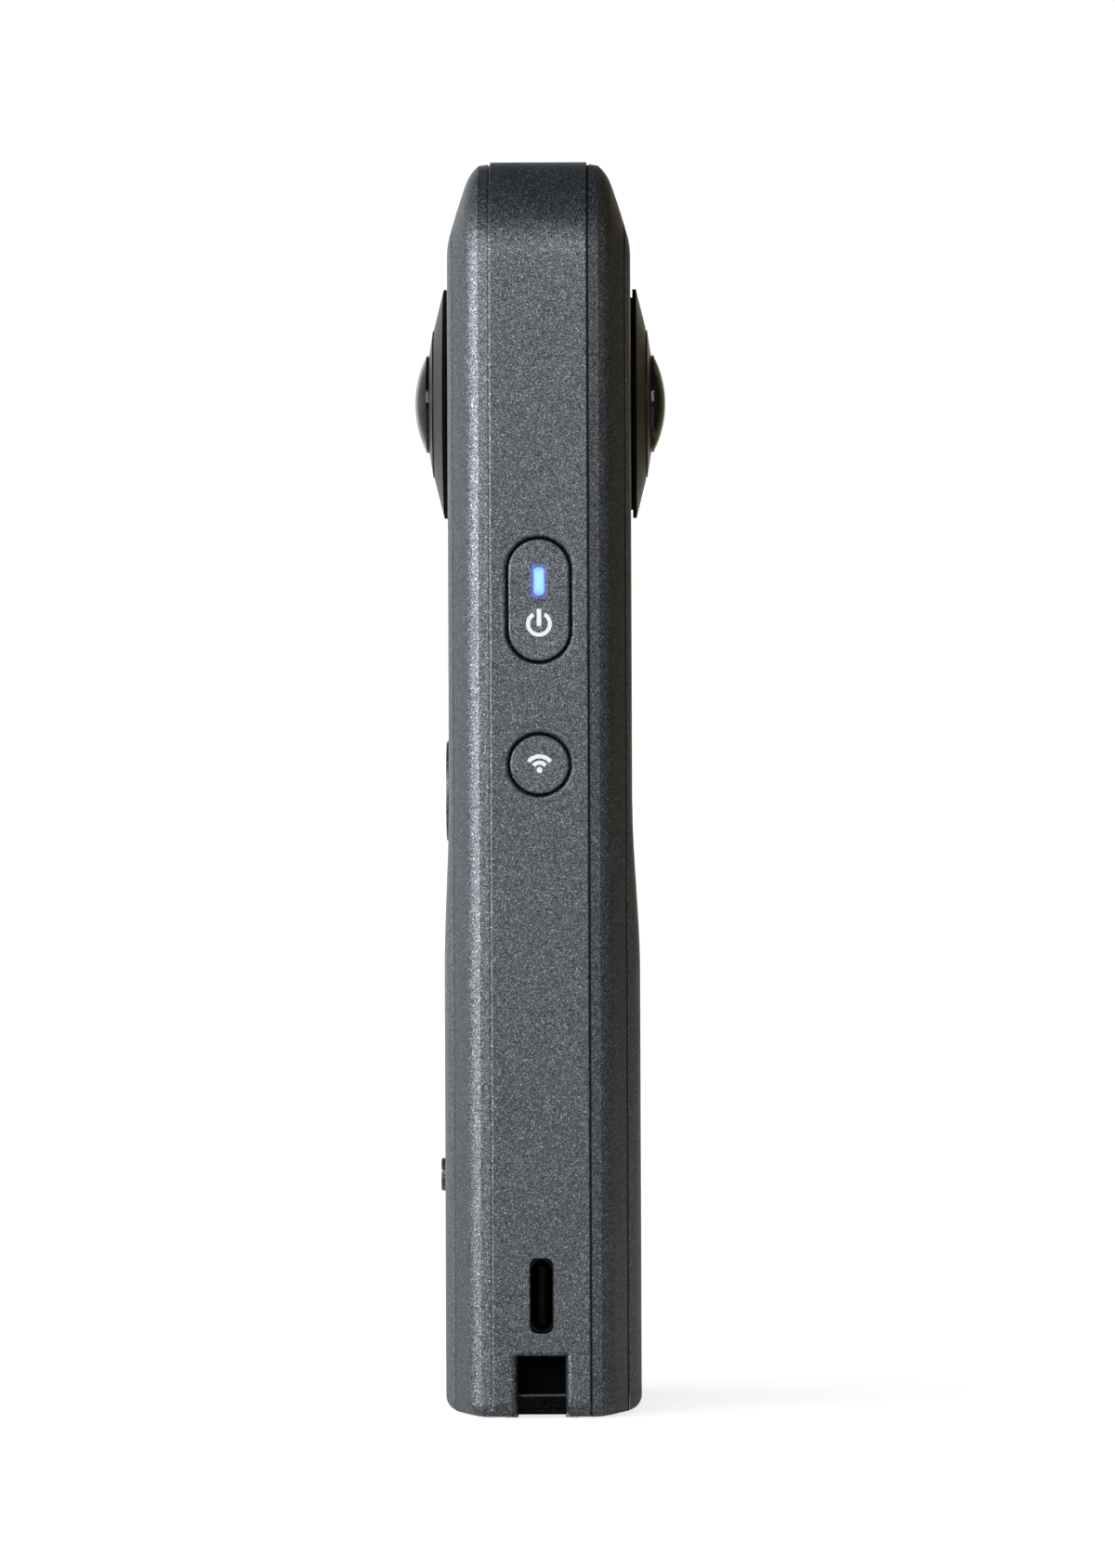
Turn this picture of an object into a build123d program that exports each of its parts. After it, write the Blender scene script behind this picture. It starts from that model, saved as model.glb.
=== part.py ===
from build123d import *
import math
import os

# 360 degree camera: two fisheye lenses back to back in a slim upright body
# Z is up, the front with shutter and display faces -Y, the button side faces +X
# The origin is the middle of the underside, and every length is in millimetres

# Body
height = 150.9
width = 54.0
corner_radius = 12.5
foot_radius = 1.8
base_proud = 0.1
edge = width / 2
corner_z = height - corner_radius
overrun = 3.0
seat_gap = 0.05

# Side frame between the two shells
frame_depth = 11.66
frame_wall = 2.0
frame_edge_radius = 0.15
frame_inner_foot = 1.0
frame_half = frame_depth / 2
inner_edge = edge - frame_wall
rib_thickness = 1.2

# Shell flank, measured inward from the body outline and forward from the middle plane
groove_width = 0.25
groove_depth = 0.12
lip_width = 1.53
strip_inset = 0.25
crease_inset = 0.42
crease_forward = 7.2
flank_radius = 5.32
flank_start_angle = 50.0
flank_turn = 30.5
rim_inset = 7.9
rim_forward = 10.46
shell_wall = 1.5
shell_floor = 1.9
shell_foot_radius = 1.4
ledge_width = 2.0
ledge_forward = 9.15
ledge_thickness = 1.15
lip_inset = strip_inset + groove_depth
ledge_inset = rim_inset + ledge_width
ledge_back = ledge_forward - ledge_thickness

# Front and rear covers
cover_gap = 0.2
cover_rise = 0.61
front_bulge_depth = 0.63
rear_bulge_depth = 0.88
swell_foot_share = 0.3512
swell_head_share = 0.4904
swell_foot_z = height * swell_foot_share
swell_head_z = height * swell_head_share
cover_curve_width = 3.2
curve_growth_share = 3.4
swell_hollow_step = 2.8
cover_shoulder = 0.04
cover_wall = 1.3
skirt_width = 1.6
cover_foot_radius = 1.8
cover_inset = rim_inset + cover_gap
face_forward = rim_forward + cover_rise
swell_levels = 6

# Screws
screw_shank_radius = 0.8
screw_head_radius = 1.45
screw_head_height = 0.9
screw_gap = 0.1
screw_tip_gap = 0.4
boss_radius = 1.95
boss_clearance = 0.3
small_shank_radius = 0.7
small_head_radius = 1.25
small_head_height = 0.7
small_bite = 0.9
screw_x = edge - rim_inset - screw_head_radius - screw_gap - seat_gap
ledge_x = edge - (rim_inset + ledge_inset) / 2

# Underside plate and tripod bush
base_plate_margin = 3.2
base_plate_length = width - 2 * base_plate_margin
base_plate_width = 17.3
base_plate_corner = 5.0
base_plate_thickness = 0.9
bush_bore_radius = 3.175
bush_radius = 4.2
bush_length = 7.5
bush_boss_wall = 1.4
bush_plate_gap = 0.15

# Strap notch and bar
notch_width = 5.73
notch_top_z = 7.4
notch_depth = 7.2
notch_wall = 1.5
notch_side_radius = 0.8
notch_top_radius = 0.5
strap_bar_z = 1.79
strap_bar_height = 1.94
strap_bar_depth = 2.0
strap_bar_recess = 1.0
strap_bar_seat = 1.0
strap_bar_radius = 0.35

# Charging port
port_z = 14.66
port_length = 9.03
port_width = 2.87
port_corner = 1.0
port_skin = 0.95
receptacle_length = 8.94
receptacle_width = 3.16
receptacle_depth = 7.35
receptacle_wall = 0.3
receptacle_back = 1.6
tongue_length = 6.69
tongue_width = 0.7
tongue_depth = 4.45
port_board_thickness = 0.8
port_board_reach = 9.3
port_board_margin = 1.4
port_rib_height = 2.2

# Side buttons
button_gap = 0.2
button_travel = 0.35
button_rest = 0.05
button_bevel = 0.25
button_mouth = 0.2
side_button_recess = 0.05
side_button_face = edge - side_button_recess
button_flange_width = 0.8
button_flange_thickness = 0.6
plunger_radius = 1.2
power_share = 0.6481
power_z = height * power_share
power_length = 14.65
power_width = 7.4
lamp_rise = 2.26
lamp_z = power_z + lamp_rise
lamp_length = 3.27
lamp_width = 1.24
lamp_clearance = 0.03
power_plunger_drop = 2.6
wireless_share = 0.5179
wireless_z = height * wireless_share
wireless_radius = 3.575
side_plunger_length = 1.15

# Switch board behind the side buttons
side_board_thickness = 0.8
side_board_half_width = 4.7
side_board_margin = 4.3
side_rib_height = 2.2
switch_size = 4.5
switch_body = 1.2
switch_stem_radius = 0.9
led_size = 1.2
led_thickness = 0.7

# Shutter button, mode button and display on the front cover
shutter_share = 0.497
shutter_z = height * shutter_share
shutter_radius = 6.25
shutter_proud = 0.23
mode_share = 0.1862
mode_z = height * mode_share
mode_radius = 2.1
mode_proud = 0.3
mode_dish_radius = 2.9
mode_dish_depth = 0.2
front_flange_width = 0.9
display_share = 0.275
display_z = height * display_share
display_side_gap = 0.36
display_curve_width = cover_curve_width + front_bulge_depth * curve_growth_share
display_pocket_width = 2 * (edge - cover_inset - display_curve_width - display_side_gap)
display_pocket_height = 14.75
display_recess = 0.3
display_bevel = 0.45
display_corner = 1.6
window_margin = 0.55
window_thickness = 1.0
window_gap = 0.1
holder_border = 1.4
holder_lap = 0.8
holder_floor = 0.6
module_gap = 0.15
module_thickness = 1.4

# Board under the front cover
key_board_thickness = 0.8
front_switch_body = 0.5
front_switch_stem = 0.12
ledge_cover_width = 1.6
sound_hole_radius = 0.5
sound_hole_x = 10.0
front_sound_share = 0.5527
rear_sound_share = 0.5832
front_sound_z = height * front_sound_share
rear_sound_z = height * rear_sound_share
key_board_foot = 5.6
key_board_head = 2.6
key_board_bottom_z = mode_z - key_board_foot
key_board_top_z = front_sound_z + key_board_head
microphone_length = 3.5
microphone_width = 2.65
microphone_height = 1.0
rear_board_height = 8.0

# Heights of the shell screws and of the screws of the front board
port_screw_rise = 3.47
power_screw_rise = 6.875
middle_screw_share = 0.4241
top_screw_share = 0.9013
port_screw_z = port_z + receptacle_length / 2 + port_board_margin + port_screw_rise
power_screw_z = power_z + power_length / 2 + power_screw_rise
shell_screw_z = (port_screw_z, height * middle_screw_share, power_screw_z, height * top_screw_share)
key_screw_rise = 5.9
key_screw_drop = 4.4
key_screw_z = (mode_z + key_screw_rise, front_sound_z - key_screw_drop)

# Lens axis and lens parts, forward from the body face
lens_share = 0.8105
lens_z = height * lens_share
bezel_share = 0.7407
bezel_radius = (edge - cover_inset) * bezel_share
neck_share = 0.9286
neck_radius = bezel_radius * neck_share
neck_gap = 0.2
bezel_lift = 0.22
bezel_rim = 0.46
bezel_rise = 1.18
bezel_roof = 1.0
neck_wall = 1.6
ring_share = 0.6429
ring_radius = bezel_radius * ring_share
bezel_land = 0.25
bezel_top_radius = ring_radius + bezel_land
ring_gap = 0.12
ring_step = 0.17
ring_rise = 0.46
ring_bore_share = 0.43
ring_bore_radius = bezel_radius * ring_bore_share
ring_height = 1.15
dome_gap = 0.07
dome_radius = ring_bore_radius - dome_gap
dome_sagitta = 1.46
dome_thickness = 1.05
dome_seat_width = 1.05
dome_hollow_radius = dome_radius - dome_seat_width
dome_lift = 0.34
barrel_neck_step = 0.4
barrel_flange_radius = neck_radius - barrel_neck_step
barrel_flange = 1.0
barrel_tail_step = 1.6
barrel_tail_radius = ring_radius - barrel_tail_step
inner_lens_step = 0.3
inner_lens_radius = dome_hollow_radius - inner_lens_step
barrel_stop_step = 0.7
barrel_stop_radius = inner_lens_radius - barrel_stop_step
inner_lens_gap = 0.05
inner_lens_edge = 1.2
inner_lens_sagitta = 2.05
inner_lens_hollow = 2.2
inner_lens_seat_width = 1.2
inner_lens_hollow_radius = inner_lens_radius - inner_lens_seat_width
barrel_cone_drop = 0.75
chassis_plate = 1.2
chassis_boss_gap = 0.55
chassis_half_width = screw_x - boss_radius - chassis_boss_gap
chassis_half_height = 15.0
chassis_side_wall = 1.4
chassis_side_half_height = 9.0
chassis_hole_gap = 0.1
prism_gap = 0.15
relay_radius = 3.2
relay_gap = 0.15
sensor_thickness = 1.4
sensor_width = 6.4
sensor_height = 8.4
sensor_board_thickness = 1.0
sensor_wall_gap = 0.75
sensor_board_width = 6.6
sensor_board_height = 13.0
tab_half_height = 3.5
tab_half_thickness = 0.8
tab_end_gap = 1.0
bracket_reach = 5.0
bracket_thickness = 2.4

# Main board, battery, sound and radio
board_boss_gap = 0.25
board_half_width = screw_x - boss_radius - board_boss_gap
board_bottom_share = 0.1856
board_top_share = 0.6494
board_bottom_z = height * board_bottom_share
board_top_z = height * board_top_share
board_thickness = 1.0
board_back = 0.5
arm_half_height = 1.6
arm_thickness = 1.6
arm_board_gap = 0.075
lower_arm_share = 0.2386
lower_arm_z = height * lower_arm_share
upper_arm_z = wireless_z - wireless_radius - side_board_margin - arm_board_gap - arm_half_height
arm_lap = 2.3
shield_screw_gap = 1.9
shield_half_width = board_half_width - arm_lap / 2 - small_head_radius - shield_screw_gap
shield_bottom_share = 0.4374
shield_top_share = 0.5964
shield_bottom_z = height * shield_bottom_share
shield_top_z = height * shield_top_share
shield_height = 2.3
shield_wall = 0.3
spreader_thickness = 0.4
spreader_margin = 1.8
spreader_half_width = board_half_width - spreader_margin
spreader_bottom_share = 0.3446
spreader_top_share = 0.6428
spreader_bottom_z = height * spreader_bottom_share
spreader_top_z = height * spreader_top_share
battery_bottom_z = 14.0
battery_top_share = 0.5036
battery_top_z = height * battery_top_share
battery_thickness = 5.6
battery_gap = 0.2
battery_corner = 1.5
tray_wall = 0.8
tray_rim = 3.0
tray_margin = 0.1
battery_half_width = board_half_width - tray_margin - tray_wall - battery_gap
speaker_share = 0.3247
speaker_z = height * speaker_share
speaker_length = 14.0
speaker_width = 8.0
speaker_thickness = 3.6
speaker_hole_radius = 0.5
speaker_hole_pitch = 2.0
speaker_holes = 5
antenna_share = 0.5832
antenna_z = height * antenna_share
antenna_length = 28.0
antenna_width = 9.0
antenna_thickness = 0.6

# Lens screws
lens_screw_head_gap = 0.1
lens_screw_circle = (ring_radius + neck_radius - neck_wall) / 2
lens_screw_head_radius = (neck_radius - neck_wall - ring_radius) / 2 - lens_screw_head_gap
lens_screw_head_height = 0.7
lens_screw_count = 3

# Chips on the main board as shares of its half width and height, with shares of the chip pitch
chip_pitch_share = 0.392
chip_pitch = board_half_width * chip_pitch_share
chip_height = 1.0
chip_shares = ((0.0, 0.71, 2.0, 2.0), (0.0, 0.36, 1.6, 1.9), (-0.6, 0.4, 1.0, 1.0), (0.62, 0.33, 1.1, 1.4),
               (-0.55, 0.2, 1.5, 0.7), (0.5, 0.12, 1.3, 0.6), (0.0, 0.09, 1.2, 0.5))


def block(x_range, y_range, z_range):
    """Box between pairs of limits."""
    (x0, x1), (y0, y1), (z0, z1) = x_range, y_range, z_range
    return Pos((x0 + x1) / 2, (y0 + y1) / 2, (z0 + z1) / 2) * Box(x1 - x0, y1 - y0, z1 - z0)


def rod_along_x(radius, x_range, y=0, z=0):
    """Round bar along X between two limits."""
    x0, x1 = x_range
    return Pos((x0 + x1) / 2, y, z) * Rot(0, 90, 0) * Cylinder(radius, x1 - x0)


def rod_along_y(radius, y_range, x=0, z=0):
    """Round bar along Y between two limits."""
    y0, y1 = y_range
    return Pos(x, (y0 + y1) / 2, z) * Rot(90, 0, 0) * Cylinder(radius, y1 - y0)


def forward(near, far):
    """Y limits of what lies between two distances in front of the middle plane."""
    return (-far, -near)


def plate_along_x(sketch, x_range, z, y=0):
    """Plate whose outline is drawn with its own X along +Y and its own Y up."""
    x0, x1 = x_range
    return extrude(Plane.YZ.offset(x0) * Pos(y, z) * sketch, x1 - x0)


def plate_along_y(sketch, y_range, z, x=0):
    """Plate whose outline is drawn as seen from the front."""
    y0, y1 = y_range
    return extrude(Plane.XZ.offset(-y1) * Pos(x, z) * sketch, y1 - y0)


def turned(*corners):
    """Solid turned about Y from corners given as radius and forward distance."""
    outline = Polyline(*[(radius, -ahead) for radius, ahead in corners], close=True)
    return revolve(make_face(outline), Axis.Y)


def to_rear(part):
    """The rear lens's copy of a front piece, turned half round the upright axis."""
    return Rot(0, 0, 180) * part


def both_sides(part):
    """A piece and its mirror image on the other side of the body."""
    return part + mirror(part, about=Plane.YZ)


def body_outline(inset, lower_radius, bottom=None):
    """Outline of the body as seen from the front, moved in by an inset."""
    foot = base_proud + inset if bottom is None else bottom
    head = height - inset
    plate = Pos(0, (foot + head) / 2) * Rectangle(width - 2 * inset, head - foot)
    plate = fillet(plate.vertices().sort_by(Axis.Y)[-2:], corner_radius - inset)
    if lower_radius > 0:
        plate = fillet(plate.vertices().sort_by(Axis.Y)[:2], lower_radius)
    return plate


def side_path(bottom):
    """The line up one side, over the top and down the other, on the body outline."""
    inner = edge - corner_radius
    bend = corner_radius * (1 - math.sqrt(0.5))
    rise = Line((edge, 0, bottom), (edge, 0, corner_z))
    first = ThreePointArc(rise @ 1, (edge - bend, 0, height - bend), (inner, 0, height))
    top = Line(first @ 1, (-inner, 0, height))
    second = ThreePointArc(top @ 1, (bend - edge, 0, height - bend), (-edge, 0, corner_z))
    return Wire([rise, first, top, second, Line(second @ 1, (-edge, 0, bottom))])


def at(inset, ahead):
    """Point of a section across the +X side of the front half."""
    return (edge - inset, -ahead)


def flank_section(*inside):
    """Section across the flank of the front shell, closed through the inside points."""
    heading = math.radians(flank_start_angle)
    foot = at(lip_inset, frame_half)
    strip_foot = frame_half + groove_width
    crease = at(crease_inset, crease_forward)
    with BuildSketch() as section:
        with BuildLine():
            Polyline(foot, at(lip_inset, strip_foot), at(strip_inset, strip_foot), crease)
            bend = JernArc(crease, (-math.cos(heading), -math.sin(heading)), flank_radius, -flank_turn)
            TangentArc(bend @ 1, at(rim_inset, rim_forward), tangent=bend % 1)
            Polyline(at(rim_inset, rim_forward), *[at(*point) for point in inside], foot)
        make_face()
    return section.sketch


def shell_wall_section():
    """The flank as a moulded wall with the ledge that the cover sits on."""
    start = math.radians(flank_start_angle)
    end = math.radians(flank_start_angle - flank_turn)
    bend_width = flank_radius * (math.sin(start) - math.sin(end))
    bend_rise = flank_radius * (math.cos(end) - math.cos(start))
    knee_inset = crease_inset + bend_width + shell_wall * math.sin(end)
    knee = crease_forward + bend_rise - shell_wall * math.cos(end)
    hollow_inset = knee_inset + (ledge_back - knee) / math.tan(end)
    lip_end = lip_inset + lip_width
    ledge = [(rim_inset, ledge_forward), (ledge_inset, ledge_forward), (ledge_inset, ledge_back)]
    hollow = [(hollow_inset, ledge_back), (knee_inset, knee), (lip_end, crease_forward - shell_wall / 2)]
    return flank_section(*ledge, *hollow, (lip_end, frame_half))


def base_recess(part):
    """The part with the shallow recess for the underside plate."""
    length = base_plate_length + 2 * seat_gap
    outline = RectangleRounded(length, base_plate_width + 2 * seat_gap, base_plate_corner)
    depth = base_plate_thickness - base_proud + overrun
    return part - Pos(0, 0, base_proud - overrun) * extrude(outline, depth)


def shell_body():
    """Front half shell: flank swept round the body, floor, screw bosses and rounded foot."""
    wall = sweep(Pos(0, 0, base_proud) * shell_wall_section(), path=side_path(base_proud))
    half_plan = flank_section((edge, rim_forward), (edge, frame_half))
    half_floor = extrude(Pos(0, 0, base_proud) * half_plan, shell_floor)
    shell = wall + both_sides(half_floor)
    foot_edges = [line for line in shell.faces().sort_by(Axis.Z)[0].edges()
                  if abs(line.center().X) > edge - rim_inset and -line.center().Y > frame_half + groove_width]
    shell = fillet(foot_edges, shell_foot_radius)
    boss_depth = forward(frame_half, ledge_forward - seat_gap)
    for z in shell_screw_z:
        shell += both_sides(rod_along_y(boss_radius, boss_depth, screw_x, z))
    return base_recess(shell)


def front_shell():
    shell = shell_body()
    for z in shell_screw_z:
        hole = forward(0, ledge_back - seat_gap)
        shell -= both_sides(rod_along_y(screw_shank_radius + screw_gap, hole, screw_x, z))
    for z in key_screw_z:
        hole = forward(0, ledge_back + small_bite)
        shell -= both_sides(rod_along_y(small_shank_radius + seat_gap, hole, ledge_x, z))
    return shell


def rear_shell():
    shell = shell_body()
    hole = forward(0, ledge_forward + overrun)
    head = forward(ledge_forward - screw_head_height, ledge_forward + overrun)
    for z in shell_screw_z:
        shell -= both_sides(rod_along_y(screw_shank_radius + screw_gap, hole, screw_x, z))
        shell -= both_sides(rod_along_y(screw_head_radius + screw_gap, head, screw_x, z))
    return mirror(shell, about=Plane.XZ)


def shell_screws():
    """Screws from the rear ledge through the side frame into the front shell."""
    head_seat = ledge_forward - screw_head_height
    screw = rod_along_y(screw_shank_radius, (screw_tip_gap - ledge_back, head_seat))
    screw += rod_along_y(screw_head_radius, (head_seat, ledge_forward))
    return [Pos(side * screw_x, 0, z) * screw for side in (-1, 1) for z in shell_screw_z]


def frame_bosses():
    """Columns and ribs of the side frame that the shell screws pass through."""
    bosses = []
    for z in shell_screw_z:
        column = rod_along_y(boss_radius, (-frame_half, frame_half), screw_x, z)
        rib_z = (z - rib_thickness, z + rib_thickness)
        bosses += [column, block((screw_x, inner_edge + seat_gap), (-frame_half, frame_half), rib_z)]
    return bosses


def frame_supports():
    """Arms and brackets of the side frame that carry the boards and the lens chassis."""
    wall = inner_edge + seat_gap
    arm_x = (board_half_width - arm_lap, wall)
    arm_y = (-board_back, arm_thickness - board_back)
    supports = [block(arm_x, arm_y, (z - arm_half_height, z + arm_half_height))
                for z in (lower_arm_z, upper_arm_z)]
    bracket_y = (tab_half_thickness, tab_half_thickness + bracket_thickness)
    bracket_z = (lens_z - tab_half_height, lens_z + tab_half_height)
    supports.append(block((inner_edge - bracket_reach, wall), bracket_y, bracket_z))
    return supports


def side_board_x():
    """X limits of the switch board behind the side buttons."""
    front = inner_edge - button_flange_thickness - side_plunger_length - button_travel - button_rest
    front -= front_switch_stem + switch_body
    return (front - side_board_thickness, front)


def side_board_z():
    """Z limits of the switch board behind the side buttons."""
    return (wireless_z - wireless_radius - side_board_margin, power_z + power_length / 2 + side_board_margin)


def side_only_supports():
    """Ribs on the +X wall: two carry the switch board and one the port board."""
    low, high = side_board_z()
    wall = (side_board_x()[1], inner_edge + seat_gap)
    rib_y = (-side_board_half_width + rib_thickness, side_board_half_width - rib_thickness)
    ribs = [block(wall, rib_y, (low, low + side_rib_height))]
    ribs.append(block(wall, rib_y, (high - side_rib_height, high)))
    board_y = receptacle_width / 2 + port_board_thickness
    rib_top = port_z + receptacle_length / 2 + port_board_margin
    ribs.append(block((inner_edge - bracket_thickness, inner_edge + seat_gap), (board_y, frame_half),
                      (rib_top - port_rib_height, rib_top)))
    return ribs


def strap_notch():
    """The space of the strap notch, open to the side and below."""
    half = notch_width / 2
    return block((edge - notch_depth, edge + overrun), (-half, half), (-overrun, notch_top_z))


def mid_frame():
    """Side frame: the painted band round the body with its bosses, arms and openings."""
    band = extrude(Plane.XZ * body_outline(0, foot_radius), frame_half, both=True)
    band = fillet(band.faces().filter_by(Axis.Y).edges(), frame_edge_radius)
    inside = Plane.XZ * body_outline(frame_wall, frame_inner_foot)
    band -= extrude(inside, frame_half + overrun, both=True)
    half = notch_width / 2 + notch_wall
    pocket_top = notch_top_z + notch_wall
    pocket_x = (edge - notch_depth - notch_wall, edge - frame_wall / 2)
    pocket = block(pocket_x, (-half, half), (base_proud, pocket_top))
    boss = Pos(0, 0, base_proud + bush_length / 2) * Cylinder(bush_radius + bush_boss_wall, bush_length)
    band = band + pocket + boss
    band -= strap_notch()
    band = ease_notch(band)
    for piece in frame_bosses() + frame_supports():
        band += both_sides(piece)
    for piece in side_only_supports():
        band += piece
    return frame_holes(base_recess(band))


def ease_notch(band):
    """Rounded entry of the strap notch."""
    half = notch_width / 2
    on_face = [line for line in band.edges() if abs(line.center().X - edge) < seat_gap]
    sides = [line for line in on_face
             if abs(abs(line.center().Y) - half) < seat_gap and line.center().Z < notch_top_z]
    band = fillet(sides, notch_side_radius)
    tops = [line for line in band.edges()
            if abs(line.center().X - edge) < seat_gap and abs(line.center().Z - notch_top_z) < seat_gap]
    return fillet(tops, notch_top_radius)


def frame_holes(band):
    """The side frame with its button, port, sound, bush, strap bar and screw holes."""
    through = (inner_edge - overrun, edge + overrun)
    power_hole = SlotOverall(power_length + 2 * button_gap, power_width + 2 * button_gap, rotation=90)
    band -= plate_along_x(power_hole, through, power_z)
    band -= rod_along_x(wireless_radius + button_gap, through, 0, wireless_z)
    mouths = [line for line in band.edges() if line.center().X > edge - seat_gap and line.center().Z > port_z]
    band = chamfer([line for line in mouths if abs(line.center().Y) < power_width], button_mouth)
    band -= plate_along_x(RectangleRounded(port_width, port_length, port_corner), through, port_z)
    pocket = SlotOverall(receptacle_length + 2 * seat_gap, receptacle_width + 2 * seat_gap, rotation=90)
    band -= plate_along_x(pocket, (inner_edge - overrun, edge - port_skin), port_z)
    for step in range(speaker_holes):
        z = speaker_z + (step - (speaker_holes - 1) / 2) * speaker_hole_pitch
        band -= rod_along_x(speaker_hole_radius, (-edge - overrun, -inner_edge + overrun), 0, z)
    band -= Cylinder(bush_radius + seat_gap, 2 * (bush_length + overrun))
    band -= strap_bar_blank(seat_gap)
    for z in shell_screw_z:
        hole = (-frame_half - overrun, frame_half + overrun)
        band -= both_sides(rod_along_y(screw_shank_radius + screw_gap, hole, screw_x, z))
    bite = (-board_back - overrun, small_bite - board_back)
    for x, z in board_screw_places():
        band -= rod_along_y(small_shank_radius + seat_gap, bite, x, z)
    for x, z in tab_screw_places():
        band -= rod_along_y(small_shank_radius + seat_gap, (-overrun, tab_half_thickness + small_bite), x, z)
    return band


def strap_bar_blank(clearance):
    """Square bar across the notch, larger by a clearance."""
    outer = edge - strap_bar_recess + clearance
    half = notch_width / 2 + strap_bar_seat + clearance
    low = strap_bar_z - strap_bar_height / 2 - clearance
    high = strap_bar_z + strap_bar_height / 2 + clearance
    return block((outer - strap_bar_depth - 2 * clearance, outer), (-half, half), (low, high))


def strap_bar():
    bar = strap_bar_blank(0)
    return fillet(bar.edges().filter_by(Axis.Y), strap_bar_radius)


def base_plate():
    """Plate let into the underside, with the strap notch and the tripod hole cut out."""
    outline = RectangleRounded(base_plate_length, base_plate_width, base_plate_corner)
    plate = extrude(outline, base_plate_thickness)
    half = notch_width / 2
    plate -= block((edge - notch_depth, edge), (-half, half), (-overrun, overrun))
    return plate - Cylinder(bush_radius + bush_plate_gap, 2 * overrun)


def tripod_bush():
    body = Cylinder(bush_radius, bush_length) - Cylinder(bush_bore_radius, bush_length + overrun)
    return Pos(0, 0, base_proud + bush_length / 2) * body


def cover_section(swell, reach=None):
    """Section across a cover, whose edge curve is wider where it swells: up to a reach, or all of it."""
    face = face_forward + swell
    wall_top = rim_forward + cover_shoulder
    flat = cover_inset + cover_curve_width + swell * curve_growth_share
    near = at(edge, 0)[0] if reach is None else at(reach, 0)[0]
    with BuildSketch() as section:
        with BuildLine():
            Polyline(at(flat, face), (near, -face), (near, -ledge_back), at(cover_inset, ledge_back),
                     at(cover_inset, wall_top))
            TangentArc(at(flat, face), at(cover_inset, wall_top), tangent=(1, 0))
        make_face()
    if reach is None:
        return section.sketch + mirror(section.sketch, about=Plane.YZ)
    return section.sketch


def swell_share(share):
    """Smooth step from 0 to 1."""
    return share * share * (3 - 2 * share)


def cover_blank(swell):
    """Solid cover with its swell, open edge curve and rounded foot, before it is hollowed."""
    lower = extrude(Pos(0, 0, base_proud) * cover_section(swell), swell_foot_z - base_proud)
    levels = [level / swell_levels for level in range(swell_levels + 1)]
    middle = loft([Pos(0, 0, swell_foot_z + (swell_head_z - swell_foot_z) * level)
                   * cover_section(swell * (1 - swell_share(level))) for level in levels])
    reach = (cover_inset + cover_curve_width + corner_radius) / 2
    rim = sweep(Pos(0, 0, swell_head_z) * cover_section(0, reach), path=side_path(swell_head_z))
    half = edge - reach + seat_gap
    upper = block((-half, half), forward(ledge_back, face_forward), (swell_head_z, height - reach + seat_gap))
    foot_edges = [line for line in lower.faces().sort_by(Axis.Z)[0].edges() if -line.center().Y > rim_forward]
    return fillet(foot_edges, cover_foot_radius) + middle + rim + upper


def cover_body(swell):
    """Front cover shell with its hollow, skirt and lens hole."""
    cover = cover_blank(swell)
    cover -= block((-edge, edge), forward(ledge_back - overrun, ledge_forward), (-overrun, height))
    opening_foot = base_proud + shell_floor + cover_gap
    below = forward(ledge_forward - overrun, rim_forward + cover_shoulder / 2)
    cover -= block((-edge, edge), below, (-overrun, opening_foot))
    hollow_inset = cover_inset + skirt_width
    inner_face = face_forward - cover_wall
    hollow = body_outline(hollow_inset, 0, opening_foot + skirt_width)
    cover -= extrude(Plane.XZ.offset(ledge_forward - overrun) * hollow, inner_face - ledge_forward + overrun)
    foot = opening_foot + skirt_width
    half = edge - hollow_inset - swell_hollow_step
    cover -= block((-half, half), forward(ledge_forward - overrun, inner_face + swell), (foot, swell_foot_z))
    through = forward(ledge_forward - overrun, face_forward + overrun)
    return cover - rod_along_y(neck_radius + neck_gap, through, 0, lens_z)


def sound_holes(z):
    """Pair of microphone holes through a cover."""
    return both_sides(rod_along_y(sound_hole_radius, forward(ledge_forward - overrun, face_forward + overrun),
                                  sound_hole_x, z))


def front_cover():
    cover = cover_body(front_bulge_depth) - sound_holes(front_sound_z)
    low_face = face_forward + front_bulge_depth
    through = forward(ledge_forward - overrun, low_face + overrun)
    cover -= rod_along_y(shutter_radius + button_gap, through, 0, shutter_z)
    cover -= rod_along_y(mode_radius + button_gap, through, 0, mode_z)
    cover -= rod_along_y(mode_dish_radius, forward(low_face - mode_dish_depth, low_face + overrun), 0, mode_z)
    floor_wide = display_pocket_width - 2 * display_bevel
    floor_tall = display_pocket_height - 2 * display_bevel
    floor = Plane.XZ.offset(low_face - display_recess) * Pos(0, display_z)
    slope = math.degrees(math.atan2(display_bevel, display_recess))
    outline = RectangleRounded(floor_wide, floor_tall, display_corner - display_bevel)
    cover -= extrude(floor * outline, display_recess + seat_gap, taper=-slope)
    return cover - plate_along_y(window_outline(window_gap), through, display_z)


def rear_cover():
    cover = cover_body(rear_bulge_depth) - sound_holes(rear_sound_z)
    return mirror(cover, about=Plane.XZ)


def window_outline(clearance):
    """Outline of the display window, larger by a clearance."""
    wide = display_pocket_width - 2 * window_margin + 2 * clearance
    tall = display_pocket_height - 2 * window_margin + 2 * clearance
    return RectangleRounded(wide, tall, display_corner - window_margin + clearance)


def display_depths():
    """Forward distances of the key board, the window's back and the window's front."""
    window_front = face_forward + front_bulge_depth - display_recess
    return ledge_back, window_front - window_thickness, window_front


def display_window():
    _, back, front = display_depths()
    return plate_along_y(window_outline(0), forward(back, front), display_z)


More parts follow.
